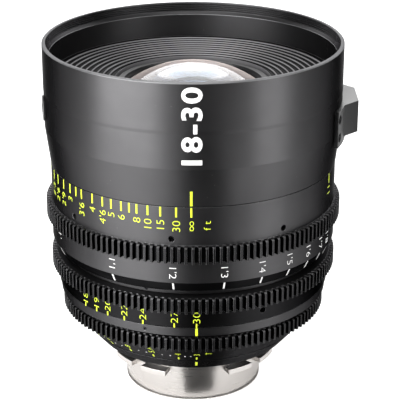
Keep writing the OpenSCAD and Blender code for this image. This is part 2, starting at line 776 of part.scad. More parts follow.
module centre_ring() {
    fixed_ring(centre_r, z_centre, z_centre_top);
}

module index_ring() {
    fixed_ring(index_r, z_index, z_index_top);
}

module ring_set_screws() {
    color(dark_metal) around(grub_count, grub_azimuth) {
        grub_screw(centre_r, (z_centre + z_centre_top) / 2);
        grub_screw(index_r, (z_index + z_index_top) / 2);
    }
}

// Guide tube: straight slots keep the moving cells from turning
carrier_drop = 6;
z_carrier = z_focus_pin - carrier_drop;
guide_top_gap = 3;
z_guide_top = z_carrier - guide_top_gap;
variator_drop = 12;
z_variator = z_guide_top - variator_drop;
z_compensator = z_drive_pin;
compensator_azimuth = 60;
cam_retainer_t = 1.5;
z_cam = z_deck + guide_base_t + ring_gap;
z_cam_top = z_guide_top - cam_retainer_t - 2 * ring_gap;
guide_clamp_w = 1;

module guide_tube() {
    color(dark_metal) difference() {
        turned([
            [spigot_bore_r - guide_clamp_w, z_deck], [cam_r, z_deck], [cam_r, z_deck + guide_base_t],
            [guide_r, z_deck + guide_base_t], [guide_r, z_guide_top], [guide_bore_r, z_guide_top],
            [guide_bore_r, z_deck + guide_base_t], [spigot_bore_r - guide_clamp_w, z_deck + guide_base_t]
        ]);
        around(roller_count) axial_slot(roller_r + run_fit, guide_bore_r - overrun, guide_r + overrun,
            z_variator - variator_travel - ring_gap, z_variator + ring_gap);
        around(roller_count, compensator_azimuth) axial_slot(roller_r + run_fit,
            guide_bore_r - overrun, guide_r + overrun, z_compensator - ring_gap,
            z_compensator + compensator_travel + ring_gap);
        at_guide_screws() flat_screw_hole(guide_screw_len);
    }
}

module guide_screws() {
    color(bright_metal) at_guide_screws() flat_screw(guide_screw_len - ring_gap);
}

module cam_retainer() {
    color(dark_metal) collar(guide_r + seat_fit, cam_r, z_cam_top + ring_gap, z_guide_top - ring_gap);
}

// Iris: a cage with the pivots, nine blades in a stair, a slotted ring that drives them, and a cover
cage_floor_t = 1.6;
cage_wall = 1.7;
cage_r = spigot_bore_r - seat_fit;
pivot_circle_r = cage_r - pivot_inset;
blade_r = pivot_circle_r - blade_root_len;
blade_bore_r = blade_r - blade_w;
z_cage = z_spigot_flange;
z_blades = z_cage + cage_floor_t + ring_gap;
z_actuator = z_blades + blade_pitch * blade_count + ring_gap;
actuator_t = 1.2;
actuator_inset = 2.5;
actuator_bore_r = pivot_circle_r - actuator_inset;
cage_bore_r = blade_bore_r + run_fit;
iris_key_w = 3;
iris_key_inset = 2;
iris_slot_end = asin((iris_key_w / 2 + ring_gap) / spigot_bore_r);
slot_steps = 18;
slope_step_share = 0.01;

// Place of a blade's drive pin after the blade has turned by b degrees about its pivot
function drive_point(b) = [
    pivot_circle_r + blade_arm * cos(blade_arm_angle + b),
    blade_arm * sin(blade_arm_angle + b)
];
function turn_point(p, a) = [p[0] * cos(a) - p[1] * sin(a), p[0] * sin(a) + p[1] * cos(a)];
// The same place seen from the turning actuator: the middle line of its slot, for a share of the travel
function slot_middle(share) = turn_point(drive_point(blade_turn * share), -iris_turn * share);
function slot_edge(share, side) =
    let (along = slot_middle(share + slope_step_share) - slot_middle(share - slope_step_share))
        slot_middle(share) + side * (blade_pin_r + seat_fit) * [-along[1], along[0]] / norm(along);

module actuator_slot() {
    polygon(concat(
        [for (i = [0:slot_steps]) slot_edge(i / slot_steps, 1)],
        [for (i = [slot_steps:-1:0]) slot_edge(i / slot_steps, -1)]));
    for (share = [0, 1]) translate(slot_middle(share))
        circle(r = blade_pin_r + seat_fit, $fn = small_fn);
}

module iris_cage() {
    color(dark_metal) difference() {
        turned([
            [cage_bore_r, z_cage], [cage_r, z_cage], [cage_r, z_actuator - ring_gap],
            [cage_r - cage_wall, z_actuator - ring_gap], [cage_r - cage_wall, z_cage + cage_floor_t],
            [cage_bore_r, z_cage + cage_floor_t]
        ]);
        around(blade_count) translate([pivot_circle_r, 0, z_cage - overrun])
            cylinder(r = pivot_pin_r + run_fit, h = cage_floor_t + 2 * overrun, $fn = small_fn);
    }
}

module iris_actuator() {
    color(brass_metal) translate([0, 0, z_actuator]) linear_extrude(actuator_t) difference() {
        circle(r = spigot_bore_r - slide_fit);
        circle(r = actuator_bore_r);
        around(blade_count) actuator_slot();
        rotate([0, 0, back_azimuth]) translate([spigot_bore_r - iris_key_inset, -iris_key_w / 2 - seat_fit])
            square([iris_key_inset + overrun, iris_key_w + 2 * seat_fit]);
    }
}

module iris_cover() {
    color(dark_metal) collar(actuator_bore_r, cage_r, z_actuator + actuator_t + ring_gap, z_deck);
}

// A blade: its arc, its pivot pin down in the cage and its drive pin up in the actuator
arc_steps = 14;
blade_tail_angle = -4;
pivot_boss_r = 2;
drive_boss_r = 1.1;

function arc_points(r, from_a, to_a) = [
    for (i = [0:arc_steps])
        let (a = from_a + (to_a - from_a) * i / arc_steps) [r * cos(a), r * sin(a)]
];

module blade_outline() {
    pin = drive_point(0);
    side = [-sin(blade_arm_angle), cos(blade_arm_angle)] * drive_boss_r;
    polygon(concat(arc_points(blade_r, blade_tail_angle, blade_angle),
        arc_points(blade_bore_r, blade_angle, blade_tail_angle)));
    translate([pivot_circle_r, 0]) circle(r = pivot_boss_r, $fn = small_fn);
    translate([blade_r - pivot_boss_r, -pivot_boss_r])
        square([pivot_circle_r - blade_r + pivot_boss_r, 2 * pivot_boss_r]);
    polygon([[pivot_circle_r, 0] + side, pin + side, pin - side, [pivot_circle_r, 0] - side]);
    translate(pin) circle(r = drive_boss_r, $fn = small_fn);
}

module iris_blade(i) {
    z_blade = z_blades + i * blade_pitch;
    pin = drive_point(0);
    color(deep_black) rotate([0, 0, 360 * i / blade_count]) {
        translate([0, 0, z_blade]) linear_extrude(blade_t) blade_outline();
        translate([pivot_circle_r, 0, z_cage + ring_gap])
            cylinder(r = pivot_pin_r, h = z_blade + blade_t - z_cage - ring_gap, $fn = small_fn);
        translate([pin[0], pin[1], z_blade])
            cylinder(r = blade_pin_r, h = z_actuator + actuator_t - z_blade, $fn = small_fn);
    }
}

module iris_key() {
    color(bright_metal) rotate([0, 0, back_azimuth])
        translate([spigot_bore_r - iris_key_inset + seat_fit, -iris_key_w / 2, z_actuator])
            cube([spigot_wall + 2 * iris_key_inset, iris_key_w, actuator_t]);
}

// Rear housing: the cone behind the iris ring, with the neck that the mount is screwed to
mount_screw_circle_r = mount_r - mount_wall - screw_head_r - ring_gap;
mount_screw_len = mount_web_t + shim_t + neck_len * screw_reach_share;
mount_screw_azimuth = lug_azimuth;

module at_mount_screws() {
    around(mount_screw_count, mount_screw_azimuth)
        translate([mount_screw_circle_r, 0, z_mount - mount_web_t]) rotate([180, 0, 0]) children();
}

module rear_housing() {
    color(satin_black) difference() {
        turned([
            [rear_cell_r + seat_fit, z_neck], [neck_r, z_neck], [neck_r, z_housing],
            [housing_rear_r, z_housing], [housing_front_r, z_housing_top],
            [spigot_r + seat_fit, z_housing_top], [spigot_r + seat_fit, z_floor],
            [rear_cell_r + seat_fit, z_floor]
        ]);
        at_housing_screws() flat_screw_hole(housing_screw_len);
        at_mount_screws() shank_hole(mount_screw_len);
    }
}

module housing_screws() {
    color(bright_metal) at_housing_screws() flat_screw(housing_screw_len - ring_gap);
}

module mount_shim() {
    color(brass_metal) difference() {
        collar(rear_cell_r + seat_fit, neck_r, z_mount, z_neck);
        at_mount_screws() shank_hole(mount_screw_len);
    }
}

// Lens mount: rear barrel, seat and four lugs with locating notches
lug_count = 4;

module lens_mount() {
    color(bright_metal) difference() {
        union() {
            turned([
                [mount_r - mount_wall, 0], [mount_r, 0], [mount_r, z_seat], [neck_r, z_seat],
                [neck_r, z_mount],
                [rear_cell_r + seat_fit, z_mount], [rear_cell_r + seat_fit, z_mount - mount_web_t],
                [mount_r - mount_wall, z_mount - mount_web_t]
            ]);
            around(lug_count, lug_azimuth)
                arc_block(mount_r - mount_wall / 2, lug_r, z_seat, z_mount, -lug_angle / 2, lug_angle / 2);
        }
        around(lug_count, lug_azimuth)
            translate([lug_r - lug_notch_d, -lug_notch_w / 2, z_seat - overrun])
                cube([lug_notch_d + overrun, lug_notch_w, mount_flange_t + 2 * overrun]);
        at_mount_screws() shank_hole(mount_screw_len);
    }
}

module mount_screws() {
    color(bright_metal) at_mount_screws() cap_screw(mount_screw_len - ring_gap);
}

// Rear group: a fixed cell with two elements and a retaining ring
rear_lip_t = 2.4;
rear_lip_w = 1.5;
z_rear_lip = z_mount;
rear_outer_edge_t = 3.5;
rear_inner_edge_t = 3;
rear_curve_r = 160;
rear_retainer_t = 2.4;
rear_retainer_w = 1.4;
rear_lip_r = rear_outer_glass_r - rear_lip_w;
z_rear_inner = z_rear_lip + rear_lip_t + seat_fit
    + face_drop(rear_curve_r, rear_lip_r, rear_inner_glass_r);
z_rear_outer = z_rear_lip - face_drop(rear_curve_r, rear_lip_r, rear_outer_glass_r) - seat_fit
    - rear_outer_edge_t;

module rear_cell() {
    color(deep_black) turned([
        [rear_outer_glass_r + seat_fit, rear_cell_z], [rear_cell_r, rear_cell_z], [rear_cell_r, z_floor],
        [rear_cell_flange_r, z_floor], [rear_cell_flange_r, z_spigot_flange],
        [rear_inner_glass_r + seat_fit, z_spigot_flange],
        [rear_inner_glass_r + seat_fit, z_rear_lip + rear_lip_t],
        [rear_lip_r, z_rear_lip + rear_lip_t], [rear_lip_r, z_rear_lip],
        [rear_outer_glass_r + seat_fit, z_rear_lip]
    ]);
}

module rear_inner_element() {
    color(lens_glass, 0.5) biconvex(rear_inner_glass_r, z_rear_inner, rear_inner_edge_t, rear_curve_r);
}

module rear_outer_element() {
    color(lens_glass, 0.5) biconvex(rear_outer_glass_r, z_rear_outer, rear_outer_edge_t, rear_curve_r);
}

module rear_retainer() {
    r_in = rear_outer_glass_r - rear_retainer_w;
    z_top = z_rear_outer - face_drop(rear_curve_r, r_in, rear_outer_glass_r) - seat_fit;
    color(deep_black) collar(r_in, rear_outer_glass_r, z_top - rear_retainer_t, z_top);
}

// Support foot: a block with a tapped hole on a curved saddle, screwed to the front barrel
module support_foot() {
    flare = (foot_root_w - foot_face_w) / 2;
    color(satin_black) difference() {
        rotate([0, 0, foot_azimuth]) {
            arc_block(barrel_body_r, barrel_body_r + saddle_t, z_saddle, z_foot_top,
                -saddle_angle / 2, saddle_angle / 2);
            translate([0, 0, z_foot_top - foot_h]) linear_extrude(foot_h) difference() {
                polygon([
                    [foot_face_x - flare, -foot_root_w / 2], [foot_face_x, -foot_face_w / 2],
                    [foot_face_x, foot_face_w / 2], [foot_face_x - flare, foot_root_w / 2]
                ]);
                circle(r = barrel_body_r + saddle_t / 2);
            }
        }
        rotate([0, 0, foot_azimuth])
            radial_rod(foot_hole_r, barrel_body_r + foot_hole_floor, foot_face_x + overrun,
                z_foot_top - foot_h / 2);
        at_foot_screws() flat_screw_hole(foot_screw_len);
    }
}

module foot_screws() {
    color(dark_metal) {
        at_foot_screws() flat_screw(foot_screw_len - ring_gap);
        at_boss_screw() flat_screw(boss_screw_len - ring_gap);
    }
}

module side_boss() {
    color(satin_black) difference() {
        rotate([0, 0, boss_azimuth])
            radial_rod(boss_r, barrel_body_r - boss_h, barrel_body_r + boss_h, z_boss);
        collar(0, barrel_body_r + seat_fit, z_taper, z_front);
        at_boss_screw() flat_screw_hole(boss_screw_len);
    }
}

// Focus ring, with the lug that meets the stop screw at both ends of the turn
z_focus_gear = z_focus + focus_rear_len;
sleeve_nest = 4.6;
z_nest = z_focus_top - sleeve_nest - ring_gap;
focus_stop_angle = asin((focus_stop_r + ring_gap) / tube_r);
lever_hole_rise = 2.4;
focus_hole_azimuth = scale_azimuth - 8.1;
focus_screw_count = 6;
sleeve_flange_t = 1.5;
sleeve_flange_r = barrel_bore_r - ring_gap;
focus_screw_len = sleeve_flange_t + sleeve_nest * screw_reach_share;

module at_focus_screws() {
    around(focus_screw_count)
        translate([focus_screw_circle_r, 0, z_focus_top + sleeve_flange_t]) children();
}

module focus_ring() {
    color(satin_black) difference() {
        union() {
            turned([
                [tube_r + run_fit, z_focus], [focus_edge_r, z_focus],
                [focus_rear_r, z_focus + focus_cone_len],
                [focus_rear_r, z_focus_gear + focus_gear_w / 2],
                [focus_front_r, z_focus_gear + focus_gear_w / 2], [focus_front_r, z_focus_top],
                [sleeve_r + seat_fit, z_focus_top],
                [sleeve_r + seat_fit, z_nest], [tube_r + run_fit, z_nest],
                [tube_r + run_fit, z_nest - focus_land_len], [focus_bore_r, z_nest - focus_land_len],
                [focus_bore_r, z_focus + focus_land_len], [tube_r + run_fit, z_focus + focus_land_len]
            ]);
            gear_band(focus_teeth, focus_front_r, z_focus_gear, focus_gear_w);
            arc_block(tube_r + ring_gap, focus_bore_r + ring_gap, z_focus_lug, z_focus_lug + focus_lug_len,
                focus_stop_azimuth + focus_stop_angle,
                focus_stop_azimuth + 360 - focus_turn - focus_stop_angle);
        }
        around(focus_hole_count, focus_hole_azimuth)
            radial_rod(lever_hole_r, focus_front_r - lever_hole_d, focus_front_r + overrun,
                z_focus_gear + focus_gear_w + lever_hole_rise);
        at_focus_screws() cap_screw_hole(focus_screw_len, overrun);
    }
}

module focus_stop_screw() {
    z = z_focus_lug + focus_lug_len / 2;
    color(bright_metal) rotate([0, 0, focus_stop_azimuth]) {
        radial_rod(stop_screw_r, tube_bore_r + ring_gap, focus_bore_r - ring_gap, z);
        intersection() {
            radial_rod(focus_stop_r, tube_bore_r, focus_bore_r - ring_gap, z);
            arc_block(tube_r, focus_bore_r, z - focus_stop_r, z + focus_stop_r, -focus_stop_angle,
                focus_stop_angle);
        }
    }
}

// Focus sleeve: three inner helical grooves push the front group along when the ring turns
groove_d = 2;
groove_steps = 44;

module focus_sleeve() {
    color(brass_metal) difference() {
        turned([
            [sleeve_bore_r, z_nest + ring_gap], [sleeve_r, z_nest + ring_gap], [sleeve_r, z_focus_top],
            [sleeve_flange_r, z_focus_top], [sleeve_flange_r, z_focus_top + sleeve_flange_t],
            [sleeve_r, z_focus_top + sleeve_flange_t], [sleeve_r, z_sleeve_top], [sleeve_bore_r, z_sleeve_top]
        ]);
        around(focus_pin_count) cam_slot(focus_pin_r, sleeve_bore_r - overrun,
            sleeve_bore_r + groove_d, z_focus_pin, focus_turn, focus_travel, groove_steps);
        at_focus_screws() cap_screw_hole(focus_screw_len, overrun);
    }
}

module focus_screws() {
    color(bright_metal) at_focus_screws() cap_screw(focus_screw_len - ring_gap);
}

// Front group: a carrier with three pins, and a cell with three elements
carrier_web_drop = 4;
z_web = z_focus_pin - carrier_web_drop;
z_web_top = z_web + carrier_web_t;
carrier_bore_r = cam_r - carrier_wall;
second_glass_r = front_glass_r - second_glass_step;
third_glass_r = second_glass_r - third_glass_step;
retainer_bore_r = front_glass_r - retainer_lip_w;
z_front_glass = z_web_top + front_cell_len;
z_dome_top = z_front_glass + front_glass_h;
front_hollow_d = front_glass_h - front_glass_t;
front_hollow_edge_r = front_glass_r - front_seat_w;
front_hollow_r = (front_hollow_edge_r * front_hollow_edge_r + front_hollow_d * front_hollow_d)
    / (2 * front_hollow_d);
function dome_z(r) = z_dome_top - front_dome_r + sqrt(front_dome_r * front_dome_r - r * r);
z_cell_top = dome_z(front_glass_r);
cell_flange_w = 3.7;
cell_flange_t = 2;
second_glass_h = 6.5;
spacer_len = 2;
z_second_glass = z_front_glass - spacer_len - second_glass_h;
third_edge_t = 3;
third_lip_rise = 4.7;
z_third_lip = z_web + third_lip_rise;
third_lip_w = 1.5;
second_curve_r = 130;
third_curve_r = 75;
z_third_glass = z_third_lip - third_edge_t - seat_fit
    - face_drop(third_curve_r, third_glass_r - third_lip_w, third_glass_r);
edge_w = 1;
spacer_w = 2;

module front_carrier() {
    color(dark_metal) difference() {
        turned([
            [carrier_bore_r, z_carrier], [cam_r, z_carrier], [cam_r, z_carrier + carrier_len],
            [carrier_bore_r, z_carrier + carrier_len], [carrier_bore_r, z_web_top],
            [front_cell_r + seat_fit, z_web_top], [front_cell_r + seat_fit, z_web], [carrier_bore_r, z_web]
        ]);
        around(focus_pin_count)
            radial_rod(focus_pin_r + seat_fit, carrier_bore_r - overrun, cam_r + overrun, z_focus_pin);
    }
}

module focus_pins() {
    color(bright_metal) around(focus_pin_count)
        radial_rod(focus_pin_r, carrier_bore_r, sleeve_bore_r + groove_d - ring_gap, z_focus_pin);
}

module front_cell() {
    color(deep_black) turned([
        [third_glass_r + seat_fit, z_web], [front_cell_r, z_web], [front_cell_r, z_web_top],
        [front_cell_r + cell_flange_w, z_web_top], [front_cell_r + cell_flange_w, z_web_top + cell_flange_t],
        [front_cell_r, z_web_top + cell_flange_t], [front_cell_r, z_cell_top],
        [front_glass_r + seat_fit, z_cell_top], [front_glass_r + seat_fit, z_front_glass],
        [second_glass_r + seat_fit, z_front_glass], [second_glass_r + seat_fit, z_second_glass],
        [third_glass_r - third_lip_w, z_second_glass], [third_glass_r - third_lip_w, z_third_lip],
        [third_glass_r + seat_fit, z_third_lip]
    ]);
}

module front_element() {
    color(lens_glass, 0.5) meniscus(front_glass_r, z_front_glass, front_glass_h, front_glass_t,
        front_dome_r, front_hollow_r);
}

module second_element() {
    color(lens_glass, 0.5)
        biconcave(second_glass_r, z_second_glass, second_glass_h, second_curve_r, edge_w);
}

module third_element() {
    color(lens_glass, 0.5) biconvex(third_glass_r, z_third_glass, third_edge_t, third_curve_r);
}

module inner_spacer() {
    color(deep_black) collar(second_glass_r - spacer_w, second_glass_r, z_second_glass + second_glass_h,
        z_front_glass);
}

module front_retainer() {
    z_top = z_cell_top + retainer_h;
    color(deep_black) turned([
        [front_glass_r + seat_fit, z_cell_top], [front_cell_r, z_cell_top],
        [front_cell_r, z_top - rim_chamfer],
        [front_cell_r - rim_chamfer, z_top], [retainer_bore_r + rim_chamfer, z_top],
        [retainer_bore_r, z_top - 2 * rim_chamfer], [retainer_bore_r, dome_z(retainer_bore_r) + seat_fit],
        [front_glass_r, dome_z(front_glass_r) + seat_fit]
    ]);
}

// Zoom ring, with the pins that reach through the tube and turn the cam barrel
z_zoom_gear = z_zoom_top - zoom_gear_w;
zoom_hole_azimuth = scale_azimuth + 29.2;
zoom_hole_drop = 2.6;
drive_pin_seat = 2;

module zoom_ring() {
    color(satin_black) difference() {
        union() {
            turned([
                [tube_r + run_fit, z_zoom], [zoom_band_r - zoom_chamfer, z_zoom],
                [zoom_band_r, z_zoom + zoom_chamfer], [zoom_band_r, z_zoom_gear + zoom_gear_w / 4],
                [zoom_hub_r, z_zoom_gear + zoom_gear_w / 4], [zoom_hub_r, z_zoom_top],
                [tube_r + run_fit, z_zoom_top]
            ]);
            gear_band(zoom_teeth, zoom_hub_r, z_zoom_gear, zoom_gear_w);
        }
        around(zoom_hole_count, zoom_hole_azimuth)
            radial_rod(lever_hole_r, zoom_band_r - lever_hole_d, zoom_band_r + overrun,
                z_zoom_gear - zoom_hole_drop);
        around(drive_pin_count, drive_pin_azimuth) radial_rod(drive_pin_r + seat_fit, tube_r - overrun,
            tube_r + run_fit + drive_pin_seat, z_drive_pin);
    }
}

module zoom_drive_pins() {
    color(bright_metal) around(drive_pin_count, drive_pin_azimuth)
        radial_rod(drive_pin_r, cam_bore_r + slide_fit, tube_r + drive_pin_seat, z_drive_pin);
}

// Cam barrel: its slanted slots move the two inner cells in opposite directions
cam_steps = 16;

module cam_barrel() {
    color(brass_metal) difference() {
        collar(cam_bore_r, cam_r, z_cam, z_cam_top);
        around(roller_count) cam_slot(roller_r, cam_bore_r - overrun, cam_r + overrun, z_variator,
            zoom_turn, -variator_travel, cam_steps);
        around(roller_count, compensator_azimuth) cam_slot(roller_r, cam_bore_r - overrun,
            cam_r + overrun, z_compensator, zoom_turn, compensator_travel, cam_steps);
        around(drive_pin_count, drive_pin_azimuth)
            radial_rod(drive_pin_r + seat_fit, cam_bore_r - overrun, cam_r + overrun, z_drive_pin);
    }
}

// A moving cell: a guided rim, a web and a hub for the glass, centred on its rollers
cell_rim_t = 3;
cell_web_t = 3;
cell_hub_w = 2.6;
cell_lip_w = 1.6;
cell_lip_t = 1;

module moving_cell(z_roller, first_azimuth) {
    z_lo = z_roller - cell_len / 2;
    z_hi = z_roller + cell_len / 2;
    hub_r = cell_glass_r + seat_fit + cell_hub_w;
    rim_bore_r = cell_r - cell_rim_t;
    color(dark_metal) difference() {
        turned([
            [cell_glass_r - cell_lip_w, z_lo], [hub_r, z_lo], [hub_r, z_roller - cell_web_t / 2],
            [rim_bore_r, z_roller - cell_web_t / 2], [rim_bore_r, z_lo], [cell_r, z_lo], [cell_r, z_hi],
            [rim_bore_r, z_hi], [rim_bore_r, z_roller + cell_web_t / 2], [hub_r, z_roller + cell_web_t / 2],
            [hub_r, z_hi], [cell_glass_r + seat_fit, z_hi], [cell_glass_r + seat_fit, z_lo + cell_lip_t],
            [cell_glass_r - cell_lip_w, z_lo + cell_lip_t]
        ]);
        around(roller_count, first_azimuth)
            radial_rod(roller_r + seat_fit, rim_bore_r - overrun, cell_r + overrun, z_roller);
    }
}

module cell_rollers(z_roller, first_azimuth) {
    color(bright_metal) around(roller_count, first_azimuth)
        radial_rod(roller_r, cell_r - cell_rim_t + seat_fit, cam_r - ring_gap, z_roller);
}

// Glass of the moving cells, seated on each cell's lip
z_variator_glass = z_variator - cell_len / 2 + cell_lip_t;
variator_front_t = 5;
variator_rear_edge_t = 2;
variator_curve_r = 150;
variator_dome_r = 120;
compensator_edge_t = 4;
compensator_curve_r = 90;
z_compensator_glass = z_compensator - cell_len / 2 + cell_lip_t + seat_fit
    + face_drop(compensator_curve_r, cell_glass_r - cell_lip_w, cell_glass_r);

module variator_cell() {
    moving_cell(z_variator, 0);
}

module variator_rollers() {
    cell_rollers(z_variator, 0);
}

module variator_rear_element() {
    color(lens_glass, 0.5)
        biconcave(cell_glass_r, z_variator_glass, variator_front_t, variator_curve_r, edge_w);
}

module variator_front_element() {
    z_lo = z_variator_glass + variator_front_t;
    sag = variator_dome_r - sqrt(variator_dome_r * variator_dome_r - cell_glass_r * cell_glass_r);
    color(lens_glass, 0.5) intersection() {
        translate([0, 0, z_lo]) cylinder(r = cell_glass_r, h = variator_rear_edge_t + sag);
        translate([0, 0, z_lo + variator_rear_edge_t + sag - variator_dome_r])
            sphere(r = variator_dome_r, $fn = glass_fn);
    }
}

module compensator_cell() {
    moving_cell(z_compensator, compensator_azimuth);
}

module compensator_rollers() {
    cell_rollers(z_compensator, compensator_azimuth);
}

module compensator_element() {
    color(lens_glass, 0.5)
        biconvex(cell_glass_r, z_compensator_glass, compensator_edge_t, compensator_curve_r);
}

// Iris ring, keyed to the actuator through the spigot
z_iris_gear = z_iris_top - iris_gear_w;

module iris_ring() {
    color(satin_black) difference() {
        union() {
            turned([
                [spigot_r + run_fit, z_iris], [iris_rear_r, z_iris], [iris_cone_r, z_iris_gear],
                [iris_hub_r, z_iris_gear + ring_gap], [iris_hub_r, z_iris_top],
                [tube_r + run_fit, z_iris_top],
                [tube_r + run_fit, z_step - ring_gap], [spigot_r + run_fit, z_step - ring_gap]
            ]);
            gear_band(iris_teeth, iris_hub_r, z_iris_gear, iris_gear_w);
        }
        rotate([0, 0, back_azimuth])
            translate([spigot_r - overrun, -iris_key_w / 2 - seat_fit, z_actuator - seat_fit])
                cube([overrun + iris_key_inset + seat_fit, iris_key_w + 2 * seat_fit,
                    actuator_t + 2 * seat_fit]);
    }
}

front_barrel();
ribbed_baffle();
main_tube();
tube_screws();
centre_ring();
index_ring();
ring_set_screws();
guide_tube();
guide_screws();
cam_retainer();
iris_cage();
iris_cover();
rear_housing();
housing_screws();
mount_shim();
lens_mount();
mount_screws();
rear_cell();
rear_inner_element();
rear_outer_element();
rear_retainer();
support_foot();
foot_screws();
side_boss();
focus_stop_screw();
focus_ring();
focus_sleeve();
focus_screws();
front_carrier();
focus_pins();
front_cell();
front_element();
second_element();
third_element();
inner_spacer();
front_retainer();
zoom_ring();
cam_barrel();
zoom_drive_pins();
variator_cell();
variator_rollers();
variator_front_element();
variator_rear_element();
compensator_cell();
compensator_rollers();
compensator_element();
iris_ring();
iris_actuator();
iris_key();
iris_blade(0);  // iris_blade_1
iris_blade(1);  // iris_blade_2
iris_blade(2);  // iris_blade_3
iris_blade(3);  // iris_blade_4
iris_blade(4);  // iris_blade_5
iris_blade(5);  // iris_blade_6
iris_blade(6);  // iris_blade_7
iris_blade(7);  // iris_blade_8
iris_blade(8);  // iris_blade_9
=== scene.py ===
# Cinema zoom lens: the finishes, scales and small details around its construction.
# Sizes in the tables are in millimetres. Azimuths are in degrees about the lens axis, from the
# side with the scales (0) towards the support foot (90).
import math

import bmesh
import bpy
from mathutils import Matrix, Vector


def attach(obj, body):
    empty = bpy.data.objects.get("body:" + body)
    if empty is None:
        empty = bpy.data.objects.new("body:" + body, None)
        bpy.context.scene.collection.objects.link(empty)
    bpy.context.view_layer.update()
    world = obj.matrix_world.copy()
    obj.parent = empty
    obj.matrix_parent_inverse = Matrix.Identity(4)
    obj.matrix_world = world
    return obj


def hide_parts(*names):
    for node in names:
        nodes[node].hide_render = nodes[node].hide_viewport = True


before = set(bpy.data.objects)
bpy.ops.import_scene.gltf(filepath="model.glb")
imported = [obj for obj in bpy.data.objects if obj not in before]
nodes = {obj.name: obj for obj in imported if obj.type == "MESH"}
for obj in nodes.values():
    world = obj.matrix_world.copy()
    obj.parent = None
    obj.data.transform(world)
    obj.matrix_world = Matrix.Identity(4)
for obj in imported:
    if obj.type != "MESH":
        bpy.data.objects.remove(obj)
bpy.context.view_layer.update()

MM = 0.001
scene = bpy.context.scene


# Camera: the photograph's view, its focal length and shift given for a 400 by 400 frame
CAMERA_DISTANCE = 0.555834
CAMERA_HEIGHT = 0.293218
CAMERA_PITCH = 21.487
FOCAL_SHARE = 1521.53 / 400
LENS_SHIFT = (0.0174, -0.0032)
SENSOR = 36

camera_data = bpy.data.cameras.new("camera")
camera_data.sensor_width = SENSOR
camera_data.lens = SENSOR * FOCAL_SHARE
camera_data.shift_x, camera_data.shift_y = LENS_SHIFT
camera_data.clip_start = 0.01
camera = bpy.data.objects.new("camera", camera_data)
camera.location = (0, -CAMERA_DISTANCE, CAMERA_HEIGHT)
camera.rotation_euler = (math.radians(90 - CAMERA_PITCH), 0, 0)
scene.collection.objects.link(camera)
scene.camera = camera
scene.view_settings.view_transform = "Standard"


# Shader node trees
def add_node(tree, kind, values=None, **settings):
    """A node of a tree, with its settings and the values of its unlinked inputs."""
    made = tree.nodes.new(kind)
    for key, value in settings.items():
        setattr(made, key, value)
    for key, value in (values or {}).items():
        made.inputs[key].default_value = value
    return made


def join(tree, *pairs):
    for source, target in pairs:
        tree.links.new(source, target)


def new_group(name, inputs, outputs):
    """A node group with number inputs and typed outputs, and its two end nodes."""
    tree = bpy.data.node_groups.new(name, "ShaderNodeTree")
    for label, value in inputs.items():
        socket = tree.interface.new_socket(name=label, in_out="INPUT", socket_type="NodeSocketFloat")
        socket.default_value = value
    for label, kind in outputs.items():
        tree.interface.new_socket(name=label, in_out="OUTPUT", socket_type=kind)
    return tree, tree.nodes.new("NodeGroupInput"), tree.nodes.new("NodeGroupOutput")


def math_node(tree, operation, first, second=0.0, clamp=False):
    """The result of one operation on one or two values or sockets."""
    made = add_node(tree, "ShaderNodeMath", operation=operation, use_clamp=clamp)
    for slot, value in ((0, first), (1, second)):
        if isinstance(value, (int, float)):
            made.inputs[slot].default_value = value
        else:
            tree.links.new(value, made.inputs[slot])
    return made.outputs[0]


EDGE_GAIN = 3.4
PATCH_GAIN = 1.3
PATCH_BASE = -0.1


def edge_wear_and_highlight_group():
    """Rounds the corners in the shading and says how near a corner a point lies, in patches; there
    the colour lightens, from abrasion and as a painted highlight.
    """
    tree, start, end = new_group(
        "edge wear", {"Radius": 0.0002, "Amount": 1.0},
        {"Mask": "NodeSocketFloat", "Normal": "NodeSocketVector"})
    rounded = add_node(tree, "ShaderNodeBevel", samples=4)
    flat = add_node(tree, "ShaderNodeNewGeometry")
    turn = add_node(tree, "ShaderNodeVectorMath", operation="DOT_PRODUCT")
    place = add_node(tree, "ShaderNodeTexCoord")
    patches = add_node(tree, "ShaderNodeTexNoise", {"Scale": 260.0, "Detail": 3.0})
    join(tree, (start.outputs["Radius"], rounded.inputs["Radius"]),
         (rounded.outputs["Normal"], turn.inputs[0]), (flat.outputs["Normal"], turn.inputs[1]),
         (place.outputs["Object"], patches.inputs["Vector"]))
    away = math_node(tree, "SUBTRACT", 1.0, turn.outputs["Value"])
    near = math_node(tree, "MULTIPLY", away, EDGE_GAIN, clamp=True)
    worn_and_lit = math_node(tree, "MULTIPLY_ADD", patches.outputs["Fac"], PATCH_GAIN, clamp=True)
    worn_and_lit.node.inputs[2].default_value = PATCH_BASE
    mask = math_node(tree, "MULTIPLY", near, worn_and_lit)
    mask = math_node(tree, "MULTIPLY", mask, start.outputs["Amount"], clamp=True)
    join(tree, (mask, end.inputs["Mask"]), (rounded.outputs["Normal"], end.inputs["Normal"]))
    return tree


def fine_grain_group():
    """The even grain of a blasted or moulded surface, with slow changes over the piece."""
    tree, start, end = new_group(
        "fine grain", {"Scale": 6000.0, "Cloud scale": 45.0},
        {"Grain": "NodeSocketFloat", "Clouds": "NodeSocketFloat"})
    place = add_node(tree, "ShaderNodeTexCoord")
    grain = add_node(tree, "ShaderNodeTexNoise", {"Detail": 2.0, "Roughness": 0.6})
    clouds = add_node(tree, "ShaderNodeTexNoise", {"Detail": 4.0, "Roughness": 0.55})
    join(tree, (place.outputs["Object"], grain.inputs["Vector"]),
         (place.outputs["Object"], clouds.inputs["Vector"]),
         (start.outputs["Scale"], grain.inputs["Scale"]),
         (start.outputs["Cloud scale"], clouds.inputs["Scale"]),
         (grain.outputs["Fac"], end.inputs["Grain"]), (clouds.outputs["Fac"], end.inputs["Clouds"]))
    return tree


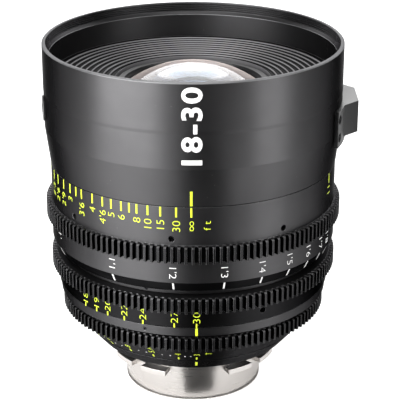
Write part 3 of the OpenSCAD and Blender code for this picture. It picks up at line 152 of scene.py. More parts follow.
def turning_lines_group():
    """The fine lines that a lathe leaves round a piece, each of its own depth."""
    tree, start, end = new_group(
        "turning lines", {"Lines per metre": 5000.0, "Drift": 30.0},
        {"Height": "NodeSocketFloat"})
    place = add_node(tree, "ShaderNodeTexCoord")
    split = add_node(tree, "ShaderNodeSeparateXYZ")
    merge = add_node(tree, "ShaderNodeCombineXYZ")
    lines = add_node(tree, "ShaderNodeTexNoise", {"Scale": 1.0, "Detail": 3.0, "Roughness": 0.7})
    join(tree, (place.outputs["Object"], split.inputs[0]))
    join(tree,
         (math_node(tree, "MULTIPLY", split.outputs["X"], start.outputs["Drift"]), merge.inputs["X"]),
         (math_node(tree, "MULTIPLY", split.outputs["Y"], start.outputs["Drift"]), merge.inputs["Y"]),
         (math_node(tree, "MULTIPLY", split.outputs["Z"], start.outputs["Lines per metre"]),
          merge.inputs["Z"]),
         (merge.outputs[0], lines.inputs["Vector"]), (lines.outputs["Fac"], end.inputs["Height"]))
    return tree


DUST_COLOUR = (0.35, 0.34, 0.32, 1.0)
DUST_RARITY = 0.6


def dust_group():
    """A few specks of dust, sparse and small."""
    tree, start, end = new_group(
        "dust specks", {"Scale": 420.0, "Size": 0.07}, {"Mask": "NodeSocketFloat"})
    place = add_node(tree, "ShaderNodeTexCoord")
    cells = add_node(tree, "ShaderNodeTexVoronoi")
    some = add_node(tree, "ShaderNodeTexNoise", {"Scale": 90.0, "Detail": 1.0})
    join(tree, (place.outputs["Object"], cells.inputs["Vector"]),
         (place.outputs["Object"], some.inputs["Vector"]),
         (start.outputs["Scale"], cells.inputs["Scale"]))
    small = math_node(tree, "LESS_THAN", cells.outputs["Distance"], start.outputs["Size"])
    rare = math_node(tree, "GREATER_THAN", some.outputs["Fac"], DUST_RARITY)
    join(tree, (math_node(tree, "MULTIPLY", small, rare), end.inputs["Mask"]))
    return tree


def axis_place(tree):
    """Distance from the lens axis, and height along it."""
    place = add_node(tree, "ShaderNodeTexCoord")
    split = add_node(tree, "ShaderNodeSeparateXYZ")
    flat = add_node(tree, "ShaderNodeCombineXYZ")
    length = add_node(tree, "ShaderNodeVectorMath", operation="LENGTH")
    join(tree, (place.outputs["Object"], split.inputs[0]), (split.outputs["X"], flat.inputs["X"]),
         (split.outputs["Y"], flat.inputs["Y"]), (flat.outputs[0], length.inputs[0]))
    return length.outputs["Value"], split.outputs["Z"]


# How dark the painted shade makes the band below a gear.
RELIEF_SHADE = 0.82


def gear_painted_shade_group():
    """Painted shade on a gear: black between the teeth, tips darkened by a share, and the band below
    a height.
    """
    tree, start, end = new_group(
        "gear painted shade", {"Low": 0.0, "High": 0.0, "Tip": 0.0, "Tip shade": 0.5, "Relief": 0.0},
        {"Shade": "NodeSocketFloat", "Gap": "NodeSocketFloat"})
    radius, height = axis_place(tree)
    teeth = math_node(tree, "MULTIPLY", math_node(tree, "GREATER_THAN", height, start.outputs["Low"]),
                      math_node(tree, "LESS_THAN", height, start.outputs["High"]))
    gap = math_node(tree, "MULTIPLY", teeth,
                    math_node(tree, "LESS_THAN", radius, start.outputs["Tip"]))
    shade = math_node(tree, "MAXIMUM", gap,
                      math_node(tree, "MULTIPLY", teeth, start.outputs["Tip shade"]))
    relief = math_node(tree, "LESS_THAN", height, start.outputs["Relief"])
    shade = math_node(tree, "MAXIMUM", shade, math_node(tree, "MULTIPLY", relief, RELIEF_SHADE))
    join(tree, (shade, end.inputs["Shade"]), (gap, end.inputs["Gap"]))
    return tree


VALLEY_MIDDLE = 4.5
VALLEY_SWING = 5.0


def rib_painted_shade_group():
    """Painted shade on the baffle's rib walls, leaving only a narrow band at each crest light."""
    tree, start, end = new_group(
        "rib painted shade", {"Outer": 0.052, "Pitch": 0.00247},
        {"Shade": "NodeSocketFloat", "Gap": "NodeSocketFloat"})
    radius = axis_place(tree)[0]
    inward = math_node(tree, "SUBTRACT", start.outputs["Outer"], radius)
    turns = math_node(tree, "DIVIDE", inward, start.outputs["Pitch"])
    wave = math_node(tree, "COSINE", math_node(tree, "MULTIPLY", turns, math.tau))
    valley = math_node(tree, "SUBTRACT", VALLEY_MIDDLE,
                       math_node(tree, "MULTIPLY", wave, VALLEY_SWING), clamp=True)
    join(tree, (valley, end.inputs["Shade"]), (valley, end.inputs["Gap"]))
    return tree


LEDGE_HALF_WIDTH = 0.0001


def rim_painted_highlight_group():
    """A painted highlight on the front rim above a height, and on the ledge behind the thread."""
    tree, start, end = new_group(
        "rim painted highlight", {"From": 0.0, "Ledge": 0.0, "Inside": 0.0},
        {"Shade": "NodeSocketFloat", "Gap": "NodeSocketFloat"})
    radius, height = axis_place(tree)
    off_ledge = math_node(tree, "ABSOLUTE",
                          math_node(tree, "SUBTRACT", height, start.outputs["Ledge"]))
    ledge = math_node(tree, "MULTIPLY", math_node(tree, "LESS_THAN", off_ledge, LEDGE_HALF_WIDTH),
                      math_node(tree, "LESS_THAN", radius, start.outputs["Inside"]))
    rim = math_node(tree, "GREATER_THAN", height, start.outputs["From"])
    join(tree, (math_node(tree, "MAXIMUM", rim, ledge), end.inputs["Shade"]))
    return tree


edge_wear_and_highlight = edge_wear_and_highlight_group()
rim_painted_highlight = rim_painted_highlight_group()
gear_painted_shade = gear_painted_shade_group()
rib_painted_shade = rib_painted_shade_group()
fine_grain = fine_grain_group()
turning_lines = turning_lines_group()
dust_specks = dust_group()


def use_group(tree, group, **values):
    made = add_node(tree, "ShaderNodeGroup", node_tree=group)
    for label, value in values.items():
        made.inputs[label.replace("_", " ")].default_value = value
    return made


def mix_colour(tree, share, first, second):
    made = add_node(tree, "ShaderNodeMix", data_type="RGBA")
    for slot, value in ((0, share), (6, first), (7, second)):
        if isinstance(value, (int, float, tuple)):
            made.inputs[slot].default_value = value
        else:
            tree.links.new(value, made.inputs[slot])
    return made.outputs[2]


PATTERN_RANGE = (0.3, 0.7)


def spread(tree, value, low, high):
    """Stretches a pattern's middle range to run from low to high."""
    made = add_node(tree, "ShaderNodeMapRange", {
        "From Min": PATTERN_RANGE[0], "From Max": PATTERN_RANGE[1], "To Min": low, "To Max": high})
    tree.links.new(value, made.inputs["Value"])
    return made.outputs["Result"]


def rgb(red, green, blue):
    return (red, green, blue, 1.0)


def new_material(name):
    """A material with its node tree and its Principled shader."""
    material = bpy.data.materials.new(name)
    material.use_nodes = True
    return material, material.node_tree, material.node_tree.nodes["Principled BSDF"]


# The black of painted shade, laid between gear teeth and on the baffle's rib walls.
PAINTED_SHADE_BLACK = rgb(0.006, 0.006, 0.0065)
# Turned metal stretches its highlights round the axis.
ROUND_THE_AXIS = 0.25
# What the lathe lines add to the roughness, at their lowest and highest.
LINE_ROUGHNESS = (-0.04, 0.05)


def finish_material(name, colour, shade, edge, roughness, metallic=0.0, tint=None, ior=1.5,
                    wear_and_highlight=0.6, radius=0.00018, grain=6000.0, grain_height=0.000004,
                    lines=0.0, line_height=0.0, rough_spread=0.05, dust=0.0, turned=0.0,
                    recess=None, painted_light_colour=PAINTED_SHADE_BLACK, **painted_light_sizes):
    """A worked surface: its colour drifts a little, its corners are lighter from abrasion and as a
    painted highlight, and its grain or lathe lines catch the light. A zone of painted shade or of
    painted highlight has a second colour."""
    material, tree, shader = new_material(name)
    shader.inputs["Metallic"].default_value = metallic
    shader.inputs["IOR"].default_value = ior
    if tint is not None:
        shader.inputs["Specular Tint"].default_value = tint
    if turned:
        shader.inputs["Anisotropic"].default_value = turned
        shader.inputs["Anisotropic Rotation"].default_value = ROUND_THE_AXIS
        around = add_node(tree, "ShaderNodeTangent", direction_type="RADIAL", axis="Z")
        join(tree, (around.outputs["Tangent"], shader.inputs["Tangent"]))
    worn_and_lit = use_group(tree, edge_wear_and_highlight, Radius=radius, Amount=wear_and_highlight)
    grains = use_group(tree, fine_grain, Scale=grain)
    base = mix_colour(tree, spread(tree, grains.outputs["Clouds"], 0.0, 1.0), colour, shade)
    wear_and_highlight_mask = worn_and_lit.outputs["Mask"]
    # A zone of painted light, painted shade or a painted highlight, mixed into the colour; corners
    # inside the painted shade stay dark.
    if recess:
        painted_zone = use_group(tree, recess, **painted_light_sizes)
        base = mix_colour(tree, painted_zone.outputs["Shade"], base, painted_light_colour)
        outside = math_node(tree, "SUBTRACT", 1.0, painted_zone.outputs["Gap"])
        wear_and_highlight_mask = math_node(tree, "MULTIPLY", wear_and_highlight_mask, outside)
    # Corners take the edge colour: abrasion and a painted highlight.
    base = mix_colour(tree, wear_and_highlight_mask, base, edge)
    if dust:
        specks = use_group(tree, dust_specks)
        base = mix_colour(tree, math_node(tree, "MULTIPLY", specks.outputs["Mask"], dust), base,
                          DUST_COLOUR)
    rough = spread(tree, grains.outputs["Clouds"], roughness - rough_spread, roughness + rough_spread)
    bump = add_node(tree, "ShaderNodeBump", {"Strength": 1.0, "Distance": grain_height})
    join(tree, (grains.outputs["Grain"], bump.inputs["Height"]),
         (worn_and_lit.outputs["Normal"], bump.inputs["Normal"]))
    if lines:
        cuts = use_group(tree, turning_lines, Lines_per_metre=lines)
        lathe = add_node(tree, "ShaderNodeBump", {"Strength": 1.0, "Distance": line_height})
        join(tree, (cuts.outputs["Height"], lathe.inputs["Height"]),
             (bump.outputs["Normal"], lathe.inputs["Normal"]))
        bump = lathe
        rough = math_node(tree, "ADD", rough, spread(tree, cuts.outputs["Height"], *LINE_ROUGHNESS))
    join(tree, (base, shader.inputs["Base Color"]), (rough, shader.inputs["Roughness"]),
         (bump.outputs["Normal"], shader.inputs["Normal"]))
    return material


DARK_EDGE = rgb(0.2, 0.2, 0.2)
# Front barrel: its rim and the ledge behind the thread are lighter, a painted highlight; its corners
# lighten from abrasion and as a painted highlight.
anodised = finish_material(
    "satin black anodised", rgb(0.076, 0.075, 0.077), rgb(0.068, 0.067, 0.069),
    rgb(0.20, 0.20, 0.21), 0.4, metallic=1.0, turned=0.6, tint=DARK_EDGE, wear_and_highlight=0.55, grain=7000.0,
    dust=0.25, recess=rim_painted_highlight, painted_light_colour=rgb(0.25, 0.25, 0.255), From=0.13885,
    Ledge=0.13445, Inside=0.0562)


def ring_black(name, colour, shade, **gear):
    """The rings' black anodising, with lighter corners from abrasion and as a painted highlight. A
    gear is the heights of its teeth, the radius of their tips and a relief height, and brings painted
    shade.
    """
    sizes = {"recess": gear_painted_shade, **gear} if gear else {}
    return finish_material(name, colour, shade, rgb(0.42, 0.42, 0.43), 0.4, metallic=1.0, turned=0.6,
                           tint=DARK_EDGE, wear_and_highlight=1.0, radius=0.00024, grain=7000.0, lines=2600.0,
                           line_height=0.0000016, dust=0.2, **sizes)


foot_black = finish_material(
    "smooth black foot", rgb(0.006, 0.006, 0.0065), rgb(0.004, 0.004, 0.0045), rgb(0.1, 0.1, 0.1),
    0.34, ior=1.36, wear_and_highlight=0.6, grain=7000.0, grain_height=0.000002, dust=0.2)
RING_BLACK = rgb(0.075, 0.074, 0.076), rgb(0.067, 0.066, 0.068)
anodised_rings = ring_black("black anodised rings", *RING_BLACK)
# Focus and zoom rings: painted shade between the teeth and on the band below the gear; the iris ring
# only between its teeth.
focus_black = ring_black("black focus ring", *RING_BLACK, Low=0.0715, High=0.07742, Tip=0.0569,
                         Relief=0.0631)
zoom_black = ring_black("black zoom ring", *RING_BLACK, Low=0.051, High=0.05602, Tip=0.0553,
                        Relief=0.05095)
iris_black = ring_black("black iris ring", *RING_BLACK, Low=0.0336, High=0.03822, Tip=0.0513)
# The baffle's grey shows at the rib crests and corners; the rib walls get painted shade.
well_black = finish_material(
    "ribbed well black", rgb(0.3, 0.296, 0.306), rgb(0.26, 0.256, 0.265), rgb(0.45, 0.45, 0.46),
    0.42, metallic=0.6, tint=DARK_EDGE, wear_and_highlight=0.8, radius=0.00022, grain=7000.0,
    grain_height=0.000003, recess=rib_painted_shade)
cell_black = finish_material(
    "satin cell black", rgb(0.06, 0.06, 0.062), rgb(0.05, 0.05, 0.052), rgb(0.3, 0.3, 0.3),
    0.42, metallic=0.6, tint=DARK_EDGE, grain=7000.0, grain_height=0.000003)
bezel_black = finish_material(
    "bezel black", rgb(0.008, 0.008, 0.009), rgb(0.005, 0.005, 0.006), rgb(0.05, 0.05, 0.05),
    0.35, wear_and_highlight=0.3, grain=4000.0)
tube_grey = finish_material(
    "hard anodised tube", rgb(0.07, 0.07, 0.075), rgb(0.055, 0.055, 0.06), rgb(0.3, 0.3, 0.31),
    0.33, metallic=0.9, tint=DARK_EDGE, lines=3500.0, line_height=0.000002)
mount_steel = finish_material(
    "turned stainless steel", rgb(0.8, 0.765, 0.735), rgb(0.74, 0.705, 0.675), rgb(0.95, 0.93, 0.9),
    0.3, metallic=1.0, wear_and_highlight=0.5, radius=0.00025, grain=9000.0, grain_height=0.000001,
    lines=2600.0, line_height=0.0000022, rough_spread=0.03)
screw_steel = finish_material(
    "bright screw steel", rgb(0.56, 0.55, 0.53), rgb(0.48, 0.47, 0.46), rgb(0.8, 0.79, 0.77),
    0.3, metallic=1.0, radius=0.0001, lines=9000.0, line_height=0.000001)
screw_black = finish_material(
    "black oxide screws", rgb(0.045, 0.045, 0.05), rgb(0.03, 0.03, 0.034), rgb(0.3, 0.3, 0.3),
    0.36, metallic=0.9, tint=DARK_EDGE, radius=0.0001)
sleeve_brass = finish_material(
    "bearing brass", rgb(0.66, 0.45, 0.18), rgb(0.56, 0.37, 0.14), rgb(0.85, 0.66, 0.36),
    0.3, metallic=1.0, lines=3800.0, line_height=0.000003)
blade_black = finish_material(
    "blackened blade steel", rgb(0.02, 0.02, 0.022), rgb(0.03, 0.028, 0.026), rgb(0.12, 0.12, 0.12),
    0.45, metallic=0.7, tint=DARK_EDGE, radius=0.00005, grain=2600.0)


def mark_paint(name, colour, shade):
    """Engraved marks filled with paint: slightly uneven, slightly glossy."""
    material, tree, shader = new_material(name)
    grains = use_group(tree, fine_grain, Scale=5200.0, Cloud_scale=700.0)
    base = mix_colour(tree, spread(tree, grains.outputs["Clouds"], 0.0, 1.0), colour, shade)
    bump = add_node(tree, "ShaderNodeBump", {"Strength": 0.6, "Distance": 0.000008})
    join(tree, (grains.outputs["Grain"], bump.inputs["Height"]),
         (base, shader.inputs["Base Color"]),
         (spread(tree, grains.outputs["Clouds"], 0.42, 0.55), shader.inputs["Roughness"]),
         (bump.outputs["Normal"], shader.inputs["Normal"]))
    return material


mark_lime = mark_paint("lime scale paint", rgb(0.72, 0.86, 0.03), rgb(0.62, 0.76, 0.02))
mark_white = mark_paint("white scale paint", rgb(0.86, 0.86, 0.85), rgb(0.78, 0.78, 0.77))


def coated_glass(name, tone, zones, reach, bloom=0.0, coat=0.35, coat_ior=1.5):
    """Coated lens glass: clear, with a pale bloom seen edge-on. From its middle outwards it
    passes through tinted zones, each given by two radii and a tone."""
    material, tree, shader = new_material(name)
    shader.inputs["Transmission Weight"].default_value = 1.0
    shader.inputs["IOR"].default_value = 1.62
    shader.inputs["Coat Weight"].default_value = coat
    shader.inputs["Coat IOR"].default_value = coat_ior
    shader.inputs["Coat Tint"].default_value = rgb(0.82, 0.9, 1.0)
    shader.inputs["Sheen Weight"].default_value = bloom
    shader.inputs["Sheen Roughness"].default_value = 0.4
    shader.inputs["Sheen Tint"].default_value = rgb(1.0, 0.87, 0.82)
    radius = axis_place(tree)[0]
    smudge = use_group(tree, fine_grain, Scale=900.0, Cloud_scale=reach)
    tinted = tone
    for low, high, zone_tone in zones:
        zone = add_node(tree, "ShaderNodeMapRange", {"From Min": low * MM, "From Max": high * MM},
                        interpolation_type="SMOOTHSTEP")
        join(tree, (radius, zone.inputs["Value"]))
        tinted = mix_colour(tree, zone.outputs["Result"], tinted, zone_tone)
    join(tree, (tinted, shader.inputs["Base Color"]),
         (spread(tree, smudge.outputs["Clouds"], 0.0, 0.02), shader.inputs["Roughness"]))
    return material


# The front glass's rings, pale blue, white, near black and beige, are painted reflections tinted into
# the glass.
front_glass = coated_glass(
    "coated front glass", rgb(1.0, 0.98, 0.86),
    [(4.0, 7.5, rgb(0.7, 0.86, 1.0)), (9.5, 12.0, rgb(1.0, 1.0, 1.0)),
     (13.2, 15.4, rgb(0.06, 0.07, 0.09)), (16.4, 19.0, rgb(0.5, 0.43, 0.4))],
    60.0, bloom=1.0, coat=0.2, coat_ior=1.45)
ground_glass = coated_glass(
    "ground glass edge", rgb(0.9, 0.83, 0.8), [(24.0, 27.5, rgb(0.84, 0.75, 0.71))], 60.0)
ground_glass.node_tree.nodes["Principled BSDF"].inputs["Transmission Weight"].default_value = 0.1
inner_glass = coated_glass(
    "coated inner glass", rgb(0.9, 0.96, 1.0), [(18.0, 23.0, rgb(0.86, 0.8, 0.74))], 80.0)


FINISHES = {
    anodised: ["front_barrel", "rear_housing"],
    foot_black: ["support_foot", "side_boss"],
    anodised_rings: ["index_ring", "centre_ring"],
    focus_black: ["focus_ring"],
    zoom_black: ["zoom_ring"],
    iris_black: ["iris_ring"],
    well_black: ["ribbed_baffle"],
    cell_black: ["rear_cell"],
    bezel_black: ["front_cell", "front_retainer", "inner_spacer", "rear_retainer"],
    tube_grey: ["main_tube", "guide_tube", "cam_retainer", "iris_cage", "iris_cover",
                "front_carrier", "variator_cell", "compensator_cell"],
    mount_steel: ["lens_mount"],
    screw_steel: ["tube_screws", "guide_screws", "housing_screws", "mount_screws", "focus_screws",
                  "focus_stop_screw", "focus_pins", "zoom_drive_pins", "variator_rollers",
                  "compensator_rollers", "iris_key", "mount_shim"],
    screw_black: ["foot_screws", "ring_set_screws"],
    sleeve_brass: ["focus_sleeve", "cam_barrel", "iris_actuator"],
    blade_black: ["iris_blade_%d" % number for number in range(1, 10)],
    front_glass: ["front_element"],
    inner_glass: ["second_element", "third_element", "variator_front_element",
                  "variator_rear_element", "compensator_element", "rear_inner_element",
                  "rear_outer_element"],
}
for finish, names in FINISHES.items():
    for name in names:
        solid = nodes[name]
        solid.data.materials.clear()
        solid.data.materials.append(finish)


def mesh_from(shape, name):
    """A mesh made from a shape, which is freed."""
    mesh = bpy.data.meshes.new(name)
    shape.to_mesh(mesh)
    shape.free()
    return mesh


def new_piece(name, mesh, body, finish):
    """An object at the origin that rides on a body and has its finish."""
    mesh.materials.clear()
    mesh.materials.append(finish)
    made = bpy.data.objects.new(name, mesh)
    scene.collection.objects.link(made)
    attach(made, body)
    return made


# Pieces whose edges the maker breaks: a copy of the solid with small rounded edges.
# Each row is the node, its body, its material slot and the width of the rounding.
EDGE_BREAKS = [("lens_mount", "body", "steel", 0.5), ("support_foot", "body", "black", 0.3),
               ("side_boss", "body", "black", 0.15), ("index_ring", "body", "black", 0.15),
               ("centre_ring", "body", "black", 0.15), ("rear_housing", "body", "black", 0.2),
               ("focus_ring", "focus", "black", 0.12), ("zoom_ring", "zoom", "black", 0.12),
               ("iris_ring", "iris", "black", 0.12)]
# The gears' front faces and tip radii. The teeth are chamfered there.
GEAR_CROWNS = {"focus_ring": (77.9, 57.2), "zoom_ring": (56.5, 55.6), "iris_ring": (38.7, 51.6)}
CROWN_WIDTH = 0.45
CROWN_REACH = 0.08
MERGE_DISTANCE = 0.000001
FLAT_ANGLE = 1.0
EDGE_ANGLE = 30
FACET_ANGLE = 12


def sharp_edges(shape, angle):
    return [edge for edge in shape.edges
            if len(edge.link_faces) == 2 and edge.calc_face_angle() > math.radians(angle)]


def crown_edges(shape, height, radius):
    near = CROWN_REACH * MM
    return [edge for edge in shape.edges
            if all(abs(v.co.z - height * MM) < near and abs(v.co.xy.length - radius * MM) < near
                   for v in edge.verts)]


def break_edges(name, body, width):
    solid = nodes[name]
    shape = bmesh.new()
    shape.from_mesh(solid.data)
    bmesh.ops.remove_doubles(shape, verts=shape.verts, dist=MERGE_DISTANCE)
    bmesh.ops.dissolve_limit(shape, angle_limit=math.radians(FLAT_ANGLE), verts=shape.verts,
                             edges=shape.edges)
    if name in GEAR_CROWNS:
        bmesh.ops.bevel(shape, geom=crown_edges(shape, *GEAR_CROWNS[name]), offset=CROWN_WIDTH * MM,
                        affect="EDGES", segments=1, profile=0.5, material=-1)
    bmesh.ops.bevel(shape, geom=sharp_edges(shape, EDGE_ANGLE), offset=width * MM,
                    affect="EDGES", segments=2, profile=0.5, material=-1, clamp_overlap=True)
    for face in shape.faces:
        face.smooth = True
    for edge in sharp_edges(shape, FACET_ANGLE):
        edge.smooth = False
    mesh = mesh_from(shape, name + "_finished")
    piece = new_piece(name + "_finished", mesh, body, solid.data.materials[0])
    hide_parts(name)


for node_name, body_name, slot_name, break_width in EDGE_BREAKS:
    break_edges(node_name, body_name, break_width)


# Front glass: the same lens as the solid, turned from its section, with its ground edge
DOME_R = 43
DOME_TOP = 129.5
HOLLOW_R = 30
HOLLOW_TOP = 126.5
GLASS_R = 27.5
GLASS_SEAT_R = 24
GLASS_BASE = 114.5
GLASS_RINGS = 28
TURN_STEPS = 144
# Outside the seat, faces that don't look forwards are ground. This is their highest normal z.
GROUND_LOOK = 0.1


def cap_point(radius, curve_r, top):
    return (radius, 0, top - curve_r + math.sqrt(curve_r * curve_r - radius * radius))


def front_lens():
    rings = [GLASS_R * step / GLASS_RINGS for step in range(GLASS_RINGS + 1)]
    inner = [GLASS_SEAT_R * step / GLASS_RINGS for step in range(GLASS_RINGS + 1)]
    section = [cap_point(r, DOME_R, DOME_TOP) for r in rings]
    section += [(GLASS_R, 0, GLASS_BASE)]
    section += [cap_point(r, HOLLOW_R, HOLLOW_TOP) for r in reversed(inner)]
    shape = bmesh.new()
    points = [shape.verts.new(Vector(place) * MM) for place in section]
    edges = [shape.edges.new(pair) for pair in zip(points, points[1:])]
    bmesh.ops.spin(shape, geom=points + edges, cent=(0, 0, 0), axis=(0, 0, 1),
                   angle=math.tau, steps=TURN_STEPS, use_merge=True)
    bmesh.ops.remove_doubles(shape, verts=shape.verts, dist=MERGE_DISTANCE)
    bmesh.ops.recalc_face_normals(shape, faces=shape.faces)
    for face in shape.faces:
        face.smooth = True
    for edge in sharp_edges(shape, EDGE_ANGLE):
        edge.smooth = False
    mesh = mesh_from(shape, "front_glass")
    piece = new_piece("front_glass", mesh, "front_group", front_glass)
    mesh.materials.append(ground_glass)
    for face in mesh.polygons:
        if face.center.xy.length > GLASS_SEAT_R * MM and face.normal.z < GROUND_LOOK:
            face.material_index = 1
    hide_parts("front_element")


front_lens()


# Scales: figures, lines and dots that lie on a turned surface
PAINT_T = 0.03
# A shape is cut into strips of this width, so that it bends round the lens.
CUT_STEP = 0.8
CURVE_STEPS = 4
DOT_SIDES = 12
FIGURE_MERGE = 0.0005
# The scales' figures have thinner strokes than the font.
THIN = -0.012


def figure_shape(words, height, bold=0.0, spacing=1.0, widen=1.15):
    """Lettering as a thin solid in its own plane, as high as asked, from its left end."""
    curve = bpy.data.curves.new("figures", "FONT")
    curve.body = words
    curve.extrude = PAINT_T / 2
    curve.offset = bold
    curve.resolution_u = CURVE_STEPS
    curve.space_character = spacing
    holder = bpy.data.objects.new("figures", curve)
    scene.collection.objects.link(holder)
    bpy.context.view_layer.update()
    graph = bpy.context.evaluated_depsgraph_get()
    mesh = bpy.data.meshes.new_from_object(holder.evaluated_get(graph))
    bpy.data.objects.remove(holder)
    shape = bmesh.new()
    shape.from_mesh(mesh)
    bpy.data.meshes.remove(mesh)
    size = height / FIGURE_HEIGHT
    bmesh.ops.scale(shape, vec=(size * widen, size, 1), verts=shape.verts)
    bmesh.ops.remove_doubles(shape, verts=shape.verts, dist=FIGURE_MERGE)
    return shape


# The font's own height, measured on a figure before any is scaled by it.
FIGURE_HEIGHT = 1.0
measured = figure_shape("0", 1.0)
FIGURE_HEIGHT = max(v.co.y for v in measured.verts) - min(v.co.y for v in measured.verts)
measured.free()


def stroke_shape(width, length):
    """A painted line: a thin plate with its lower end at the origin."""
    shape = bmesh.new()
    bmesh.ops.create_cube(shape, size=1.0)
    bmesh.ops.scale(shape, vec=(width, length, PAINT_T), verts=shape.verts)
    bmesh.ops.translate(shape, vec=(0, length / 2, 0), verts=shape.verts)
    return shape


def dot_shape(width):
    shape = bmesh.new()
    bmesh.ops.create_circle(shape, cap_ends=True, segments=DOT_SIDES, radius=width / 2)
    top = bmesh.ops.extrude_face_region(shape, geom=shape.faces[:])["geom"]
    bmesh.ops.translate(shape, vec=(0, 0, PAINT_T),
                        verts=[part for part in top if isinstance(part, bmesh.types.BMVert)])
    bmesh.ops.recalc_face_normals(shape, faces=shape.faces)
    return shape


def lay_on(shape, band, azimuth, height, turn=0.0):
    """Bends a flat shape onto a band of the lens: a band is two points (height, radius)."""
    (low_z, low_r), (high_z, high_r) = band
    slope = math.atan2(high_r - low_r, high_z - low_z)
    bmesh.ops.rotate(shape, cent=(0, 0, 0), matrix=Matrix.Rotation(math.radians(turn), 3, "Z"),
                     verts=shape.verts)
    across = [v.co.x for v in shape.verts]
    cut = min(across) + CUT_STEP
    while cut < max(across):
        bmesh.ops.bisect_plane(shape, geom=shape.verts[:] + shape.edges[:] + shape.faces[:],
                               plane_co=(cut, 0, 0), plane_no=(1, 0, 0))
        cut += CUT_STEP
    anchor_r = low_r + (height - low_z) * math.tan(slope)
    for v in shape.verts:
        arc, up, out = v.co
        radius = anchor_r + up * math.sin(slope) + (out + PAINT_T / 2) * math.cos(slope)
        z = height + up * math.cos(slope) - (out + PAINT_T / 2) * math.sin(slope)
        angle = math.radians(azimuth - 90) + arc / (anchor_r + up * math.sin(slope))
        v.co = Vector((radius * math.cos(angle), radius * math.sin(angle), z)) * MM


def gather(name, shapes, body, finish):
    """One piece from many small shapes."""
    whole = bmesh.new()
    for shape in shapes:
        part = mesh_from(shape, "part")
        whole.from_mesh(part)
        bpy.data.meshes.remove(part)
    return new_piece(name, mesh_from(whole, name), body, finish)


def placed_figures(labels, band, height, figure_height, turn, align, bold=THIN, widen=1.15,
                   spacing=1.0):
    """Figures turned to run along the lens, with their start, end or middle at one height."""
    made = []
    for words, azimuth in labels:
        shape = figure_shape(words, figure_height, bold, spacing, widen)
        low = min(v.co.x for v in shape.verts)
        high = max(v.co.x for v in shape.verts)
        start = {"start": low, "end": high, "middle": (low + high) / 2}[align]
        bmesh.ops.translate(shape, vec=(-start, -figure_height / 2, 0), verts=shape.verts)
        lay_on(shape, band, azimuth, height, turn)
        made.append(shape)
    return made


def placed_strokes(azimuths, band, height, width, length):
    made = []
    for azimuth in azimuths:
        shape = stroke_shape(width, length)
        lay_on(shape, band, azimuth, height)
        made.append(shape)
    return made


def placed_dots(azimuths, band, height, width):
    made = []
    for azimuth in azimuths:
        shape = dot_shape(width)
        lay_on(shape, band, azimuth, height)
        made.append(shape)
    return made


# The focus scale: a mark's azimuth from its distance in inches. It fits the marks that show.
INFINITY_AZIMUTH = 2.0
FOCUS_THROW = 1614
SHORTEST_INCHES = 5.5


def focus_angle(inches):
    return INFINITY_AZIMUTH - FOCUS_THROW / (inches - SHORTEST_INCHES)


FAR_SCALE = [("∞", -0.65), ("30", -6.3), ("15", -12.3), ("10", -17.2), ("8", -21.6), ("6", -28.1),
             ("5", -32.6), ("4'6", -36.7), ("4", -41.9), ("3'6", -48.1), ("3", -55.9),
             ("2'9", -61.3), ("2'6", -67.3)]
FAR_SCALE += [(words, focus_angle(inches)) for words, inches in (
    ("2'3", 27), ("2'", 24), ("1'9", 21), ("1'6", 18), ("1'4", 16), ("1'3", 15), ("1'2", 14),
    ("1'1", 13), ("1'", 12), ("11", 11))]
FAR_HALVES = [-24.7, -51.7]
NEAR_SCALE = [("1'", -66.4), ("1'1", -32.5), ("1'2", -7.6), ("1'3", 12.0), ("1'4", 27.4),
              ("1'5", 40.4), ("1'6", 51.4), ("1'7", 60.9), ("1'8", 67.6)]
NEAR_SCALE += [(words, focus_angle(inches) + 180) for words, inches in (
    ("1'10", 22), ("2'", 24), ("2'6", 30), ("3'", 36), ("4'", 48), ("6'", 72), ("10'", 120))]
NEAR_SCALE += [("∞", 179.35)]
ZOOM_SCALE = [("30", 1.4), ("27", -7.5), ("24", -20.5), ("22", -28.8), ("20", -37.0),
              ("19", -43.1), ("18", -50.0)]
IRIS_SCALE = [("3", 1.8), ("4", -7.2), ("5.6", -20.2), ("8", -33.2), ("11", -46.0), ("16", -59.0),
              ("22", -72.0)]
IRIS_DOTS = [-1.1, -3.9, -11.1, -15.1, -23.3, -27.5, -37.5, -41.7, -50.5, -54.7, -63.5, -67.7]

# Bands that carry the marks: two points (height, radius) of each
FOCUS_FRONT = ((77.9, 54.95), (92.6, 54.95))
FOCUS_REAR = ((63.2, 55.15), (71.4, 55.15))
FOCUS_CONE = ((59.3, 53.2), (63.2, 55.15))
ZOOM_BAND = ((44.5, 53.0), (50.9, 53.0))
INDEX_BAND = ((40.5, 52.3), (43.8, 52.3))
IRIS_CONE = ((25.3, 42.3), (33.5, 48.9))
HOUSING_CONE = ((20.0, 38.0), (25.0, 42.3))
BARREL_TAPER = ((92.9, 55.0), (107.5, 56.9))
# The range's lettering runs over the step behind the front land.
RANGE_BAND = ((107.5, 57.0), (138.9, 57.0))


def mark_azimuths(scale):
    return [azimuth for words, azimuth in scale]


